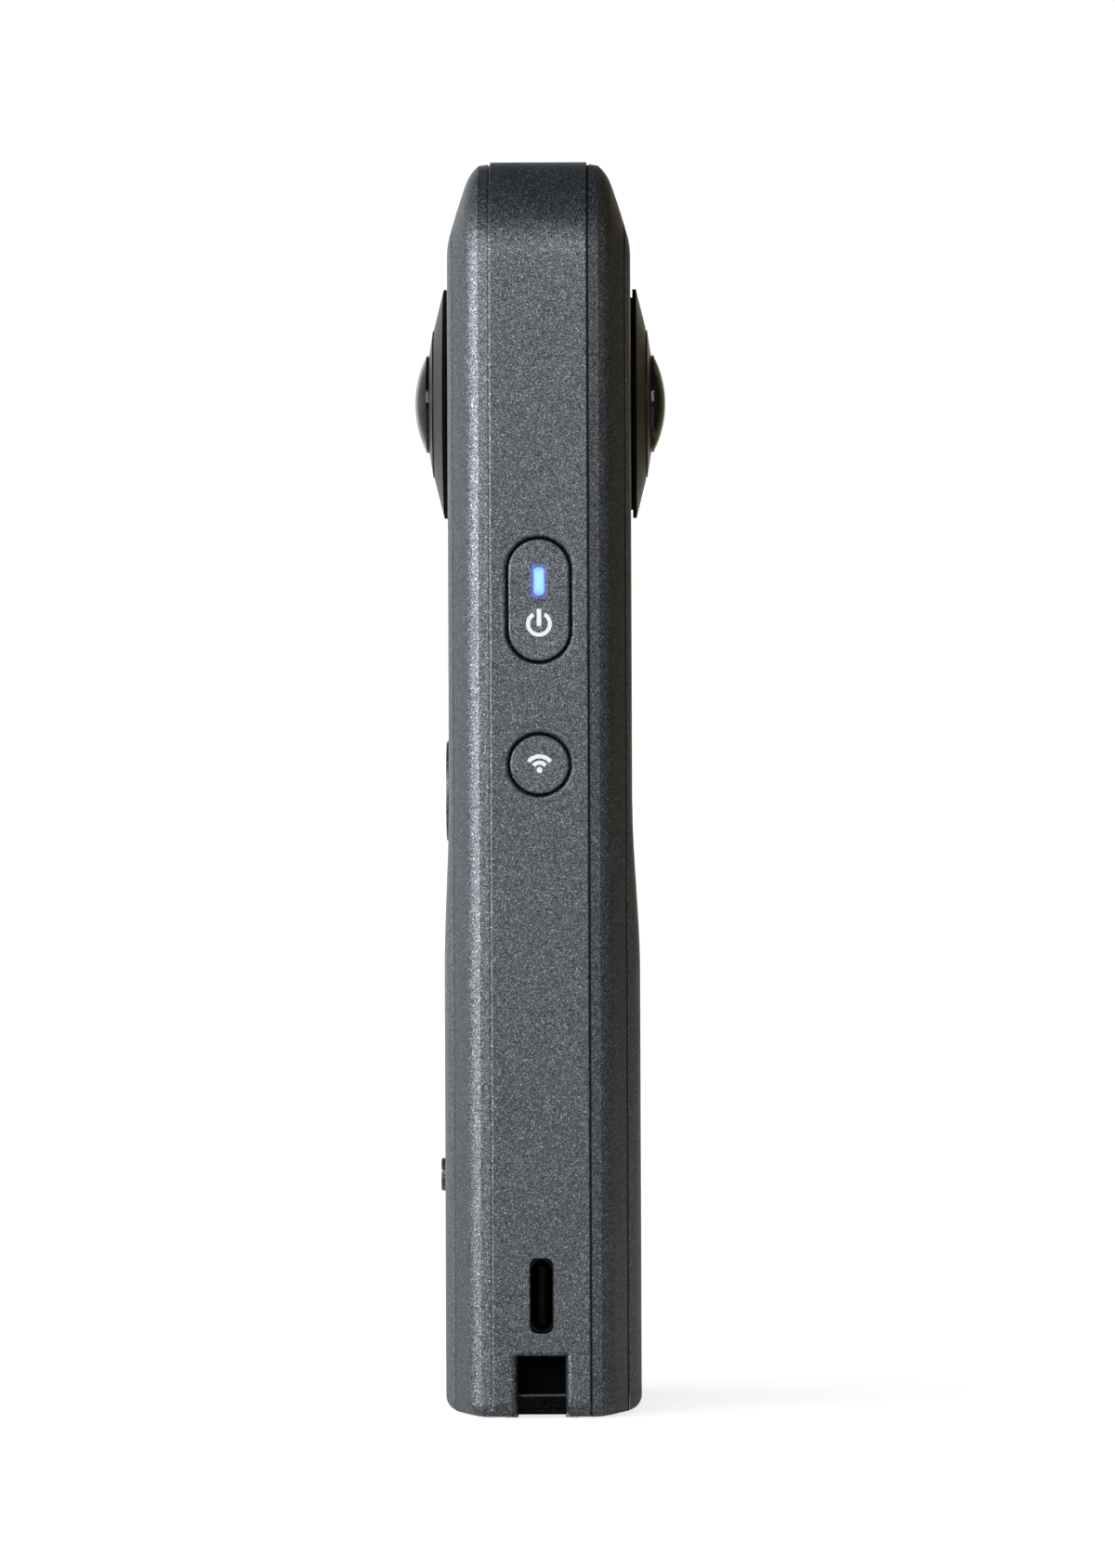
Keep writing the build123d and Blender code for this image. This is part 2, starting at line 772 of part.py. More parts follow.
def display_holder():
    """Frame on the key board that holds the display under its window."""
    board, top, _ = display_depths()
    wide = display_pocket_width + 2 * holder_border - 2 * window_margin
    tall = display_pocket_height + 2 * holder_border - 2 * window_margin
    holder = block((-wide / 2, wide / 2), forward(board, top), (display_z - tall / 2, display_z + tall / 2))
    half_wide = display_pocket_width / 2 - window_margin - holder_lap
    half_tall = display_pocket_height / 2 - window_margin - holder_lap
    return holder - block((-half_wide, half_wide), forward(board + holder_floor, top + overrun),
                          (display_z - half_tall, display_z + half_tall))


def display_module():
    board, _, _ = display_depths()
    half_wide = display_pocket_width / 2 - window_margin - holder_lap - module_gap
    half_tall = display_pocket_height / 2 - window_margin - holder_lap - module_gap
    depth = forward(board + holder_floor, board + holder_floor + module_thickness)
    return block((-half_wide, half_wide), depth, (display_z - half_tall, display_z + half_tall))


def key_board():
    """Board under the front cover, seated behind the shell ledges and cut out round the bosses."""
    half = edge - ledge_inset + ledge_cover_width
    depth = forward(ledge_back - key_board_thickness, ledge_back)
    board = block((-half, half), depth, (key_board_bottom_z, key_board_top_z))
    through = forward(0, ledge_forward)
    for z in shell_screw_z:
        board -= both_sides(rod_along_y(boss_radius + boss_clearance, through, screw_x, z))
    for z in key_screw_z:
        board -= both_sides(rod_along_y(small_shank_radius + seat_gap, through, ledge_x, z))
    return board


def key_board_screws():
    seat = ledge_back - key_board_thickness
    screw = rod_along_y(small_shank_radius, forward(seat, ledge_back + small_bite - seat_gap))
    screw += rod_along_y(small_head_radius, forward(seat - small_head_height, seat))
    return [Pos(side * ledge_x, 0, z) * screw for side in (-1, 1) for z in key_screw_z]


def pressed_from_front(radius, face, proud, inner_face, z):
    """Round push button with a flange behind the cover and a plunger to its switch."""
    top = face + proud
    cap = rod_along_y(radius, forward(inner_face - button_flange_thickness, top), 0, z)
    rim = cap.faces().sort_by(Axis.Y)[0].edges()
    cap = fillet(rim, button_bevel)
    flange = forward(inner_face - button_flange_thickness, inner_face)
    cap += rod_along_y(radius + front_flange_width, flange, 0, z)
    tip = ledge_back + front_switch_body + front_switch_stem + button_travel + button_rest
    return cap + rod_along_y(min(plunger_radius, radius / 2), forward(tip, inner_face), 0, z)


def shutter_button():
    inner_face = face_forward - cover_wall
    return pressed_from_front(shutter_radius, face_forward, shutter_proud, inner_face, shutter_z)


def mode_button():
    face = face_forward + front_bulge_depth
    return pressed_from_front(mode_radius, face, mode_proud, face - cover_wall, mode_z)


def front_switch(z):
    """Tact switch on the key board."""
    half = switch_size / 2
    body = block((-half, half), forward(ledge_back, ledge_back + front_switch_body), (z - half, z + half))
    stem_top = ledge_back + front_switch_body + front_switch_stem
    return body + rod_along_y(switch_stem_radius, forward(ledge_back, stem_top), 0, z)


def microphones(z):
    """Two microphones on the front board, behind the sound holes."""
    depth = forward(ledge_back, ledge_back + microphone_height)
    half_wide = microphone_length / 2
    half_tall = microphone_width / 2
    return [block((x - half_wide, x + half_wide), depth, (z - half_tall, z + half_tall))
            for x in (-sound_hole_x, sound_hole_x)]


def rear_microphones():
    return [mirror(piece, about=Plane.XZ) for piece in microphones(rear_sound_z)]


def rear_sound_board():
    half = edge - ledge_inset + ledge_cover_width
    tall = rear_board_height / 2
    return block((-half, half), (ledge_back - key_board_thickness, ledge_back),
                 (rear_sound_z - tall, rear_sound_z + tall))


def side_plunger(z):
    """Plunger from a side button's flange towards its switch."""
    flange_back = inner_edge - button_flange_thickness
    return rod_along_x(plunger_radius, (flange_back - side_plunger_length, inner_edge), 0, z)


def power_button():
    """Long side button with its flange, plunger and slot for the lamp."""
    outline = SlotOverall(power_length, power_width, rotation=90)
    flange_back = inner_edge - button_flange_thickness
    cap = plate_along_x(outline, (flange_back, side_button_face), power_z)
    cap = fillet(cap.faces().sort_by(Axis.X)[-1].edges(), button_bevel)
    flange_length = power_length + 2 * button_flange_width
    flange = SlotOverall(flange_length, power_width + 2 * button_flange_width, rotation=90)
    cap += plate_along_x(flange, (flange_back, inner_edge), power_z)
    cap += side_plunger(power_z - power_plunger_drop)
    slot = Rectangle(lamp_width + 2 * lamp_clearance, lamp_length + 2 * lamp_clearance)
    return cap - plate_along_x(slot, (inner_edge - overrun, edge + overrun), lamp_z)


def power_lamp():
    """Light guide in the power button, flush with its face."""
    back = inner_edge - button_flange_thickness - side_plunger_length / 2
    return plate_along_x(Rectangle(lamp_width, lamp_length), (back, side_button_face), lamp_z)


def wireless_button():
    flange_back = inner_edge - button_flange_thickness
    cap = rod_along_x(wireless_radius, (flange_back, side_button_face), 0, wireless_z)
    cap = fillet(cap.faces().sort_by(Axis.X)[-1].edges(), button_bevel)
    cap += rod_along_x(wireless_radius + button_flange_width, (flange_back, inner_edge), 0, wireless_z)
    return cap + side_plunger(wireless_z)


def side_switch_board():
    return block(side_board_x(), (-side_board_half_width, side_board_half_width), side_board_z())


def side_switch(z):
    """Tact switch on the side board."""
    front = side_board_x()[1]
    body = plate_along_x(Rectangle(switch_size, switch_size), (front, front + switch_body), z)
    return body + rod_along_x(switch_stem_radius, (front, front + switch_body + front_switch_stem), 0, z)


def status_led():
    front = side_board_x()[1]
    z = lamp_z + led_size / 2
    return plate_along_x(Rectangle(led_size, led_size), (front, front + led_thickness), z)


def usb_receptacle():
    """Charging socket: a rounded metal shell with its back wall and contact tongue."""
    mouth = edge - port_skin - seat_gap
    back = mouth - receptacle_depth
    outer = SlotOverall(receptacle_length, receptacle_width, rotation=90)
    inner_length = receptacle_length - 2 * receptacle_wall
    inner = SlotOverall(inner_length, receptacle_width - 2 * receptacle_wall, rotation=90)
    shell = plate_along_x(outer, (back, mouth), port_z)
    shell -= plate_along_x(inner, (back + receptacle_back, mouth + overrun), port_z)
    tongue = Rectangle(tongue_width, tongue_length)
    return shell + plate_along_x(tongue, (back, back + receptacle_back + tongue_depth), port_z)


def usb_board():
    side = receptacle_width / 2
    outer = inner_edge - seat_gap
    low = port_z - receptacle_length / 2 - port_board_margin / 2
    high = port_z + receptacle_length / 2 + port_board_margin
    return block((outer - port_board_reach, outer), (side, side + port_board_thickness), (low, high))


def board_screw_places():
    x = board_half_width - arm_lap / 2
    return [(side * x, z) for side in (-1, 1) for z in (lower_arm_z, upper_arm_z)]


def main_board():
    depth = forward(board_back, board_back + board_thickness)
    board = block((-board_half_width, board_half_width), depth, (board_bottom_z, board_top_z))
    for x, z in board_screw_places():
        board -= rod_along_y(small_shank_radius + seat_gap, forward(0, board_back + overrun), x, z)
    return board


def board_screws():
    seat = board_back + board_thickness
    screw = rod_along_y(small_shank_radius, forward(board_back - small_bite + seat_gap, seat))
    screw += rod_along_y(small_head_radius, forward(seat, seat + small_head_height))
    return [Pos(x, 0, z) * screw for x, z in board_screw_places()]


def board_chips():
    """Chips on the front of the main board, the first under the shield."""
    front = board_back + board_thickness
    chips = []
    for x_share, z_share, wide_share, tall_share in chip_shares:
        x = x_share * board_half_width
        z = board_bottom_z + z_share * (board_top_z - board_bottom_z)
        half_wide = wide_share * chip_pitch / 2
        half_tall = tall_share * chip_pitch / 2
        chips.append(block((x - half_wide, x + half_wide), forward(front, front + chip_height),
                           (z - half_tall, z + half_tall)))
    return chips


def board_shield():
    """Metal can over the processor."""
    front = board_back + board_thickness
    half = shield_half_width
    can = block((-half, half), forward(front, front + shield_height), (shield_bottom_z, shield_top_z))
    inner = half - shield_wall
    return can - block((-inner, inner), forward(front - overrun, front + shield_height - shield_wall),
                       (shield_bottom_z + shield_wall, shield_top_z - shield_wall))


def heat_spreader():
    back = board_back + board_thickness + shield_height
    return block((-spreader_half_width, spreader_half_width), forward(back, back + spreader_thickness),
                 (spreader_bottom_z, spreader_top_z))


def battery_limits(margin):
    """X and Z limits of the battery, larger by a margin."""
    half = battery_half_width + margin
    return (-half, half), (battery_bottom_z - margin, battery_top_z + margin)


def battery_seat():
    """Y of the tray floor that the battery lies on."""
    return arm_thickness - board_back + tray_wall


def battery_tray():
    """Open tray on the frame arms, behind the main board."""
    x_out, z_out = battery_limits(battery_gap + tray_wall)
    x_in, z_in = battery_limits(battery_gap)
    seat = battery_seat()
    tray = block(x_out, (seat - tray_wall, seat + tray_rim), z_out)
    return tray - block(x_in, (seat, seat + tray_rim + overrun), z_in)


def battery():
    x_range, z_range = battery_limits(0)
    cell = block(x_range, (battery_seat(), battery_seat() + battery_thickness), z_range)
    return fillet(cell.edges().filter_by(Axis.Y), battery_corner)


def speaker():
    inner = -inner_edge + seat_gap
    return block((inner, inner + speaker_thickness), (-speaker_width / 2, speaker_width / 2),
                 (speaker_z - speaker_length / 2, speaker_z + speaker_length / 2))


def antenna():
    inner = -inner_edge + seat_gap
    return block((inner, inner + antenna_thickness), (-antenna_width / 2, antenna_width / 2),
                 (antenna_z - antenna_length / 2, antenna_z + antenna_length / 2))


def on_lens_axis(part):
    return Pos(0, 0, lens_z) * part


def flange_top():
    """Forward distance of the barrel flange's front, where the bezel neck stands."""
    return chassis_front() + barrel_flange


def chassis_front():
    """Forward distance of the lens chassis's front face."""
    return ledge_back


def bezel_top():
    return face_forward + bezel_lift + bezel_rim + bezel_rise


def lens_bezel():
    """Outer lens ring: neck through the cover, rim and shallow cone."""
    under = face_forward + bezel_lift
    bore = ring_radius + ring_gap
    roof = bezel_top() - bezel_roof
    return on_lens_axis(turned(
        (neck_radius - neck_wall, flange_top()), (neck_radius, flange_top()), (neck_radius, under),
        (bezel_radius, under), (bezel_radius, under + bezel_rim), (bezel_top_radius, bezel_top()),
        (bore, bezel_top()), (bore, roof), (neck_radius - neck_wall, under)))


def ring_seat():
    """Forward distance of the barrel's front face, where ring and front glass sit."""
    return bezel_top() + ring_step - ring_height


def lens_ring():
    """Inner lens ring round the front glass."""
    edge_top = bezel_top() + ring_step
    return on_lens_axis(turned(
        (ring_bore_radius, ring_seat()), (ring_radius, ring_seat()), (ring_radius, edge_top),
        (ring_bore_radius, edge_top + ring_rise)))


def dome_base():
    return bezel_top() + ring_step + ring_rise + dome_lift


def lens_glass():
    """Domed front glass, hollow behind."""
    tip = dome_base() + dome_sagitta
    brow = (dome_radius, -dome_base())
    with BuildSketch() as section:
        with BuildLine():
            Polyline((dome_hollow_radius, -ring_seat()), (dome_radius, -ring_seat()), brow)
            RadiusArc(brow, (0, -tip), cap_radius(dome_radius, dome_sagitta))
            Line((0, -tip), (0, dome_thickness - tip))
            sagitta = tip - dome_thickness - ring_seat()
            RadiusArc((dome_hollow_radius, -ring_seat()), (0, dome_thickness - tip),
                      cap_radius(dome_hollow_radius, sagitta))
        make_face()
    return on_lens_axis(revolve(section.sketch, Axis.Y))


def cap_radius(half_chord, sagitta):
    """Radius of the sphere whose cap has this half chord and sagitta."""
    return (half_chord * half_chord + sagitta * sagitta) / (2 * sagitta)


def inner_seat():
    """Forward distance of the shoulder that the second lens sits on."""
    return ring_seat() - inner_lens_edge


def lens_barrel():
    """Objective barrel: flange on the chassis, tube to the front glass and stepped bore."""
    bore = inner_lens_radius + inner_lens_gap
    return on_lens_axis(turned(
        (barrel_stop_radius, prism_front()), (barrel_tail_radius, prism_front()),
        (barrel_tail_radius, chassis_front()), (barrel_flange_radius, chassis_front()),
        (barrel_flange_radius, flange_top()), (ring_radius, flange_top()), (ring_radius, ring_seat()),
        (dome_hollow_radius, ring_seat()), (bore, ring_seat() - barrel_cone_drop), (bore, inner_seat()),
        (barrel_stop_radius, inner_seat())))


def inner_lens():
    """Second lens of the objective, seen through the front glass."""
    low = inner_seat()
    brow = low + inner_lens_edge
    tip = brow + inner_lens_sagitta
    with BuildSketch() as section:
        with BuildLine():
            rim = Line((inner_lens_radius, -low), (inner_lens_radius, -brow))
            Line((inner_lens_hollow_radius, -low), rim @ 0)
            RadiusArc(rim @ 1, (0, -tip), cap_radius(inner_lens_radius, inner_lens_sagitta))
            Line((0, -tip), (0, -low - inner_lens_hollow))
            RadiusArc((inner_lens_hollow_radius, -low), (0, -low - inner_lens_hollow),
                      cap_radius(inner_lens_hollow_radius, inner_lens_hollow))
        make_face()
    return on_lens_axis(revolve(section.sketch, Axis.Y))


def prism_front():
    """Forward distance of the barrel's tail, just ahead of the prism."""
    return chassis_front() - chassis_plate


def prism_size():
    return prism_front() - 2 * prism_gap


def prism():
    """Right-angle prism that folds the light towards the sensor."""
    size = prism_size()
    low = prism_gap
    wedge = Polyline((-size / 2, -low), (-size / 2, -low - size), (size / 2, -low - size), close=True)
    return Pos(0, 0, lens_z - size / 2) * extrude(make_face(wedge), size)


def fold_y():
    """Y of the folded lens axis."""
    return -prism_gap - prism_size() / 2


def relay_lens():
    start = -prism_size() / 2 - relay_gap
    return rod_along_x(relay_radius, (sensor_x() + relay_gap, start), fold_y(), lens_z)


def sensor_x():
    """X of the sensor's face, with its board just inside the chassis wall."""
    wall = chassis_half_width - chassis_side_wall
    return sensor_wall_gap + sensor_board_thickness + sensor_thickness - wall


def image_sensor():
    half = sensor_width / 2
    y_range = (fold_y() - half, fold_y() + half)
    z_range = (lens_z - sensor_height / 2, lens_z + sensor_height / 2)
    return block((sensor_x() - sensor_thickness, sensor_x()), y_range, z_range)


def sensor_board():
    front = sensor_x() - sensor_thickness
    half = sensor_board_width / 2
    y_range = (fold_y() - half, fold_y() + half)
    z_range = (lens_z - sensor_board_height / 2, lens_z + sensor_board_height / 2)
    return block((front - sensor_board_thickness, front), y_range, z_range)


def tab_screw_places():
    x = inner_edge - bracket_reach / 2
    return [(side * x, lens_z) for side in (-1, 1)]


def lens_chassis():
    """Cast chassis: a plate behind each barrel, side walls round the sensors and two tabs."""
    half = chassis_half_width
    tall = (lens_z - chassis_half_height, lens_z + chassis_half_height)
    back = chassis_front() - chassis_plate
    plate = block((-half, half), forward(back, chassis_front()), tall)
    plate -= rod_along_y(barrel_tail_radius + chassis_hole_gap, forward(0, face_forward), 0, lens_z)
    for x, z in lens_screw_places():
        plate -= rod_along_y(small_shank_radius + seat_gap, forward(0, face_forward), x, z)
    wall_z = (lens_z - chassis_side_half_height, lens_z + chassis_side_half_height)
    wall = both_sides(block((half - chassis_side_wall, half), (-back, back), wall_z))
    tab_z = (lens_z - tab_half_height, lens_z + tab_half_height)
    tab_x = (half - chassis_side_wall, inner_edge - tab_end_gap)
    tab = block(tab_x, (-tab_half_thickness, tab_half_thickness), tab_z)
    chassis = plate + to_rear(plate) + wall + both_sides(tab)
    for x, z in tab_screw_places():
        chassis -= rod_along_y(small_shank_radius + seat_gap, (-overrun, overrun), x, z)
    return chassis


def lens_screw_places():
    """Places of the barrel screws round the lens axis."""
    angles = [math.radians(90 + 360 * step / lens_screw_count) for step in range(lens_screw_count)]
    return [(lens_screw_circle * math.cos(angle), lens_z + lens_screw_circle * math.sin(angle))
            for angle in angles]


def barrel_with_screw_holes():
    barrel = lens_barrel()
    for x, z in lens_screw_places():
        barrel -= rod_along_y(small_shank_radius + seat_gap, forward(0, flange_top() + seat_gap), x, z)
    return barrel


def lens_screws():
    """Barrel screws of both lenses and the two screws of the chassis tabs."""
    seat = flange_top()
    barrel_screw = rod_along_y(small_shank_radius, forward(prism_front(), seat))
    barrel_screw += rod_along_y(lens_screw_head_radius, forward(seat, seat + lens_screw_head_height))
    screws = [Pos(x, 0, z) * barrel_screw for x, z in lens_screw_places()]
    screws += [to_rear(screw) for screw in screws]
    shank = (-tab_half_thickness, tab_half_thickness + small_bite - seat_gap)
    head = (-tab_half_thickness - small_head_height, -tab_half_thickness)
    tab_screw = rod_along_y(small_shank_radius, shank) + rod_along_y(small_head_radius, head)
    return screws + [Pos(x, 0, z) * tab_screw for x, z in tab_screw_places()]


def lens_pieces():
    """The pieces of the front lens and their copies for the rear lens."""
    front = {"lens_bezel": lens_bezel(), "lens_ring": lens_ring(), "lens_glass": lens_glass(),
             "lens_barrel": barrel_with_screw_holes(), "inner_lens": inner_lens(), "prism": prism(),
             "relay_lens": relay_lens(), "image_sensor": image_sensor(), "sensor_board": sensor_board()}
    pieces = {"front_" + name: piece for name, piece in front.items()}
    pieces.update({"rear_" + name: to_rear(piece) for name, piece in front.items()})
    return pieces


def camera():
    """Every piece by name; a list is a group of separate solids."""
    pieces = {
        "mid_frame": mid_frame(), "front_shell": front_shell(), "rear_shell": rear_shell(),
        "front_cover": front_cover(), "rear_cover": rear_cover(), "base_plate": base_plate(),
        "tripod_bush": tripod_bush(), "strap_bar": strap_bar(), "power_button": power_button(),
        "power_lamp": power_lamp(), "wireless_button": wireless_button(), "shutter_button": shutter_button(),
        "mode_button": mode_button(), "display_window": display_window(), "display_module": display_module(),
        "display_holder": display_holder(), "key_board": key_board(),
        "shutter_switch": front_switch(shutter_z), "mode_switch": front_switch(mode_z),
        "front_microphones": microphones(front_sound_z),
        "rear_microphones": rear_microphones(), "rear_sound_board": rear_sound_board(),
        "side_switch_board": side_switch_board(), "power_switch": side_switch(power_z - power_plunger_drop),
        "wireless_switch": side_switch(wireless_z), "status_led": status_led(),
        "usb_receptacle": usb_receptacle(), "usb_board": usb_board(), "main_board": main_board(),
        "board_chips": board_chips(), "board_shield": board_shield(), "heat_spreader": heat_spreader(),
        "battery": battery(), "battery_tray": battery_tray(), "speaker": speaker(), "antenna": antenna(),
        "lens_chassis": lens_chassis(), "shell_screws": shell_screws(), "board_screws": board_screws(),
        "key_board_screws": key_board_screws(), "lens_screws": lens_screws()}
    pieces.update(lens_pieces())
    return pieces


os.makedirs("parts", exist_ok=True)
for name, piece in camera().items():
    solids = piece if isinstance(piece, list) else [piece]
    export_step(Compound([solid for item in solids for solid in item.solids()]), f"parts/{name}.step")
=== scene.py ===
import bmesh
import bpy
import math
from mathutils import Matrix, Vector


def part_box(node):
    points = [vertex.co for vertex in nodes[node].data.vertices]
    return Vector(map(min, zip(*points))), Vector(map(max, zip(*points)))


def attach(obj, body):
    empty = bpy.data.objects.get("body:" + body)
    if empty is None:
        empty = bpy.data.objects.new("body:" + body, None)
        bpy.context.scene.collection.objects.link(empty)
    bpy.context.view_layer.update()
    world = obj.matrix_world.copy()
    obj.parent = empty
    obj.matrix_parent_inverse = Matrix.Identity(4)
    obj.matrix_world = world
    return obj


# A slim 360 degree camera with two fisheye lenses back to back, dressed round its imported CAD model
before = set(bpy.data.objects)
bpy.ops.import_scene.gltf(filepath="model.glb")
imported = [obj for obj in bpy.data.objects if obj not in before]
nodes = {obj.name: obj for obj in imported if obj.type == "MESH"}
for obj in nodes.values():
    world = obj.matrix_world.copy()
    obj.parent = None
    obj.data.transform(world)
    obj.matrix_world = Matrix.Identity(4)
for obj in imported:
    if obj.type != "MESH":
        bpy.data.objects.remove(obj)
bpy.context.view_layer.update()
MM = 0.001

# The side frame, the half shells and the covers are moulded and sprayed with a graphite metallic paint.
# Its aluminium flakes tilt a little, so single grains catch the light; they are drawn coarser than real ones.
# The satin coat over them is thicker in places, which changes its gloss more than its tone.
paint_dark = "373B3F"
paint_grey = "585C60"
paint_light = "8A8E92"
flake_spark = "D2D5D8"
grain_size = 0.11 * MM
flake_tilt = 0.16
spark_share = ((0.95, 0.0), (0.985, 0.9))
spray_patch = 7 * MM
peel_size = 0.9 * MM
peel_height = 0.002 * MM
paint_metallic = 0.85
paint_gloss = (0.38, 0.46)


def linear(code):
    """A colour from its sRGB hex value."""
    parts = [int(code[place:place + 2], 16) / 255 for place in (0, 2, 4)]
    return [part / 12.92 if part <= 0.04045 else ((part + 0.055) / 1.055) ** 2.4 for part in parts] + [1]


def add(tree, kind, inputs=(), stops=(), **settings):
    """A new node: its settings, its inputs set to values or linked, and the stops of its colour ramp."""
    node = tree.nodes.new("ShaderNode" + kind)
    for name, value in settings.items():
        setattr(node, name, value)
    for name, value in dict(inputs).items():
        if isinstance(value, bpy.types.Node):
            value = value.outputs[0]
        if isinstance(value, bpy.types.NodeSocket):
            tree.links.new(value, node.inputs[name])
        else:
            node.inputs[name].default_value = linear(value) if isinstance(value, str) else value
    for spot, (position, tone) in enumerate(stops):
        scale = node.color_ramp.elements
        stop = scale[spot] if spot < len(scale) else scale.new(position)
        stop.position = position
        stop.color = linear(tone) if isinstance(tone, str) else (tone, tone, tone, 1)
    return node


def blank(name):
    """A new material without nodes, and its node tree."""
    material = bpy.data.materials.new(name)
    material.use_nodes = True
    material.node_tree.nodes.clear()
    return material, material.node_tree


def flakes(tree):
    """The flake pattern: a random colour for each grain, and the surface's normal tilted by it."""
    where = add(tree, "TexCoord").outputs["Object"]
    grain = add(tree, "TexVoronoi", {"Vector": where, "Scale": 1 / grain_size}).outputs["Color"]
    lean = add(tree, "VectorMath", {0: grain, 1: (0.5, 0.5, 0.5)}, operation="SUBTRACT")
    lean = add(tree, "VectorMath", {0: lean, "Scale": flake_tilt}, operation="SCALE")
    straight = add(tree, "NewGeometry").outputs["Normal"]
    normal = add(tree, "VectorMath", {0: straight, 1: lean}, operation="ADD")
    normal = add(tree, "VectorMath", {0: normal}, operation="NORMALIZE")
    return where, grain, normal


def sprayed_surface(tree, gloss, tones=(paint_dark, paint_grey, paint_light), spark=flake_spark):
    """Colour, roughness and normal of the flake paint between two levels of roughness."""
    where, grain, normal = flakes(tree)
    parts = add(tree, "SeparateColor", {"Color": grain}).outputs
    tone = add(tree, "ValToRGB", {"Fac": parts[0]}, zip((0.0, 0.5, 1.0), tones))
    share = add(tree, "ValToRGB", {"Fac": parts[1]}, spark_share)
    colour = add(tree, "Mix", {0: share, 6: tone, 7: spark}, data_type="RGBA").outputs[2]
    patches = add(tree, "TexNoise", {"Vector": where, "Scale": 1 / spray_patch, "Detail": 3.0})
    rough = add(tree, "ValToRGB", {"Fac": patches}, zip((0.3, 0.7), gloss))
    peel = add(tree, "TexNoise", {"Vector": where, "Scale": 1 / peel_size})
    bump = add(tree, "Bump", {"Height": peel, "Distance": peel_height, "Normal": normal})
    return where, colour, rough, bump


# The front and rear covers are moulded plates that snap into the half shells, sprayed with the same flakes.
# Their tones are drawn a shade lighter: painted light for the brighter reflection along their curved edges.
cover_painted_light_tones = ("43474B", "6A6E72", "A1A5A9")

painted_light_cover_paint, tree = blank("graphite_paint_with_painted_light")
where, colour, rough, bump = sprayed_surface(tree, paint_gloss, cover_painted_light_tones)
surface = add(tree, "BsdfPrincipled", {"Base Color": colour, "Metallic": paint_metallic, "Roughness": rough,
                                       "Normal": bump})
add(tree, "OutputMaterial", {"Surface": surface})


def dress(material, *names):
    """Gives CAD nodes a material."""
    for name in names:
        slots = nodes[name].data.materials
        slots.clear()
        slots.append(material)


dress(painted_light_cover_paint, "front_cover", "rear_cover")

# The two moulded half shells are sprayed; a band at the groove by each cover is coloured black as painted
# shade.
# The rear one is also coloured black at the frame, painted shade that shows its seam as a fine dark line.
# The front one is sprayed round its eased edge there, which leans forward and catches the key light.
rear_seam_shade_edge = 6.06 * MM
cover_seam_shade_end = 10.47 * MM
cover_seam_shade_widths = {"front_shell": 0.07 * MM, "rear_shell": 0.23 * MM}
front_edge = -5.98 * MM
edge_lean = 0.5
polymer_black_and_painted_shade = "040404"
polymer_black_and_painted_shade_rough = 0.7


def leaned(tree, normal, lean):
    """A normal with a lean added to it, as a rounded edge has."""
    normal = add(tree, "VectorMath", {0: normal, 1: lean}, operation="ADD")
    return add(tree, "VectorMath", {0: normal}, operation="NORMALIZE")


for name, seam_shade_width in cover_seam_shade_widths.items():
    shell_paint, tree = blank(name + "_sprayed_graphite_paint")
    where, colour, rough, bump = sprayed_surface(tree, paint_gloss)
    across = add(tree, "SeparateXYZ", {0: where}).outputs[1]
    ahead = add(tree, "Math", {0: across}, operation="ABSOLUTE")
    above = add(tree, "Math", {0: ahead, 1: cover_seam_shade_end - seam_shade_width}, operation="GREATER_THAN")
    below = add(tree, "Math", {0: ahead, 1: cover_seam_shade_end}, operation="LESS_THAN")
    # Painted shade: a black band along the groove at the cover, wider on the rear shell.
    seam_painted_shade = add(tree, "Math", {0: above, 1: below}, operation="MULTIPLY")
    if name == "rear_shell":
        # Painted shade: the rear shell's edge at the frame is coloured black.
        edge = add(tree, "Math", {0: across, 1: rear_seam_shade_edge}, operation="LESS_THAN")
        seam_painted_shade = add(tree, "Math", {0: seam_painted_shade, 1: edge}, operation="MAXIMUM")
    if name == "front_shell":
        edge = add(tree, "Math", {0: across, 1: front_edge}, operation="GREATER_THAN")
        lean = add(tree, "VectorMath", {0: (0, -edge_lean, 0), "Scale": edge}, operation="SCALE")
        bump = leaned(tree, bump, lean)
    colour = add(tree, "Mix", {0: seam_painted_shade, 6: colour, 7: polymer_black_and_painted_shade}, data_type="RGBA").outputs[2]
    metal = add(tree, "Math", {0: seam_painted_shade, 1: -paint_metallic, 2: paint_metallic}, operation="MULTIPLY_ADD")
    dull = add(tree, "Math", {0: seam_painted_shade, 1: polymer_black_and_painted_shade_rough}, operation="MULTIPLY")
    rough = add(tree, "Math", {0: rough, 1: dull}, operation="MAXIMUM")
    surface = add(tree, "BsdfPrincipled", {"Base Color": colour, "Metallic": metal, "Roughness": rough,
                                           "Normal": bump})
    add(tree, "OutputMaterial", {"Surface": surface})
    dress(shell_paint, name)

# The side frame is moulded in black polymer and sprayed from outside only.
# The walls of the button holes, the socket's slot and the strap notch are coloured black, partly bare polymer
# and partly painted shade.
# The mouths of the holes and of the notch are eased, drawn as a lean of the normals.
holes_back = 15 * MM
holes_top = 112 * MM
holes_half = 4.2 * MM
hole_depth = 26.75 * MM
notch_depth = 26.3 * MM
notch_top = 9 * MM
recess_top = 2.2 * MM
recess_half = 2.95 * MM
key_flange = 0.8 * MM
hole_gap = 0.2 * MM
mouth_round = 0.45 * MM
mouth_lean = 0.6
notch_half = 2.87 * MM
notch_ceiling = 7.3 * MM
notch_round = 0.7 * MM


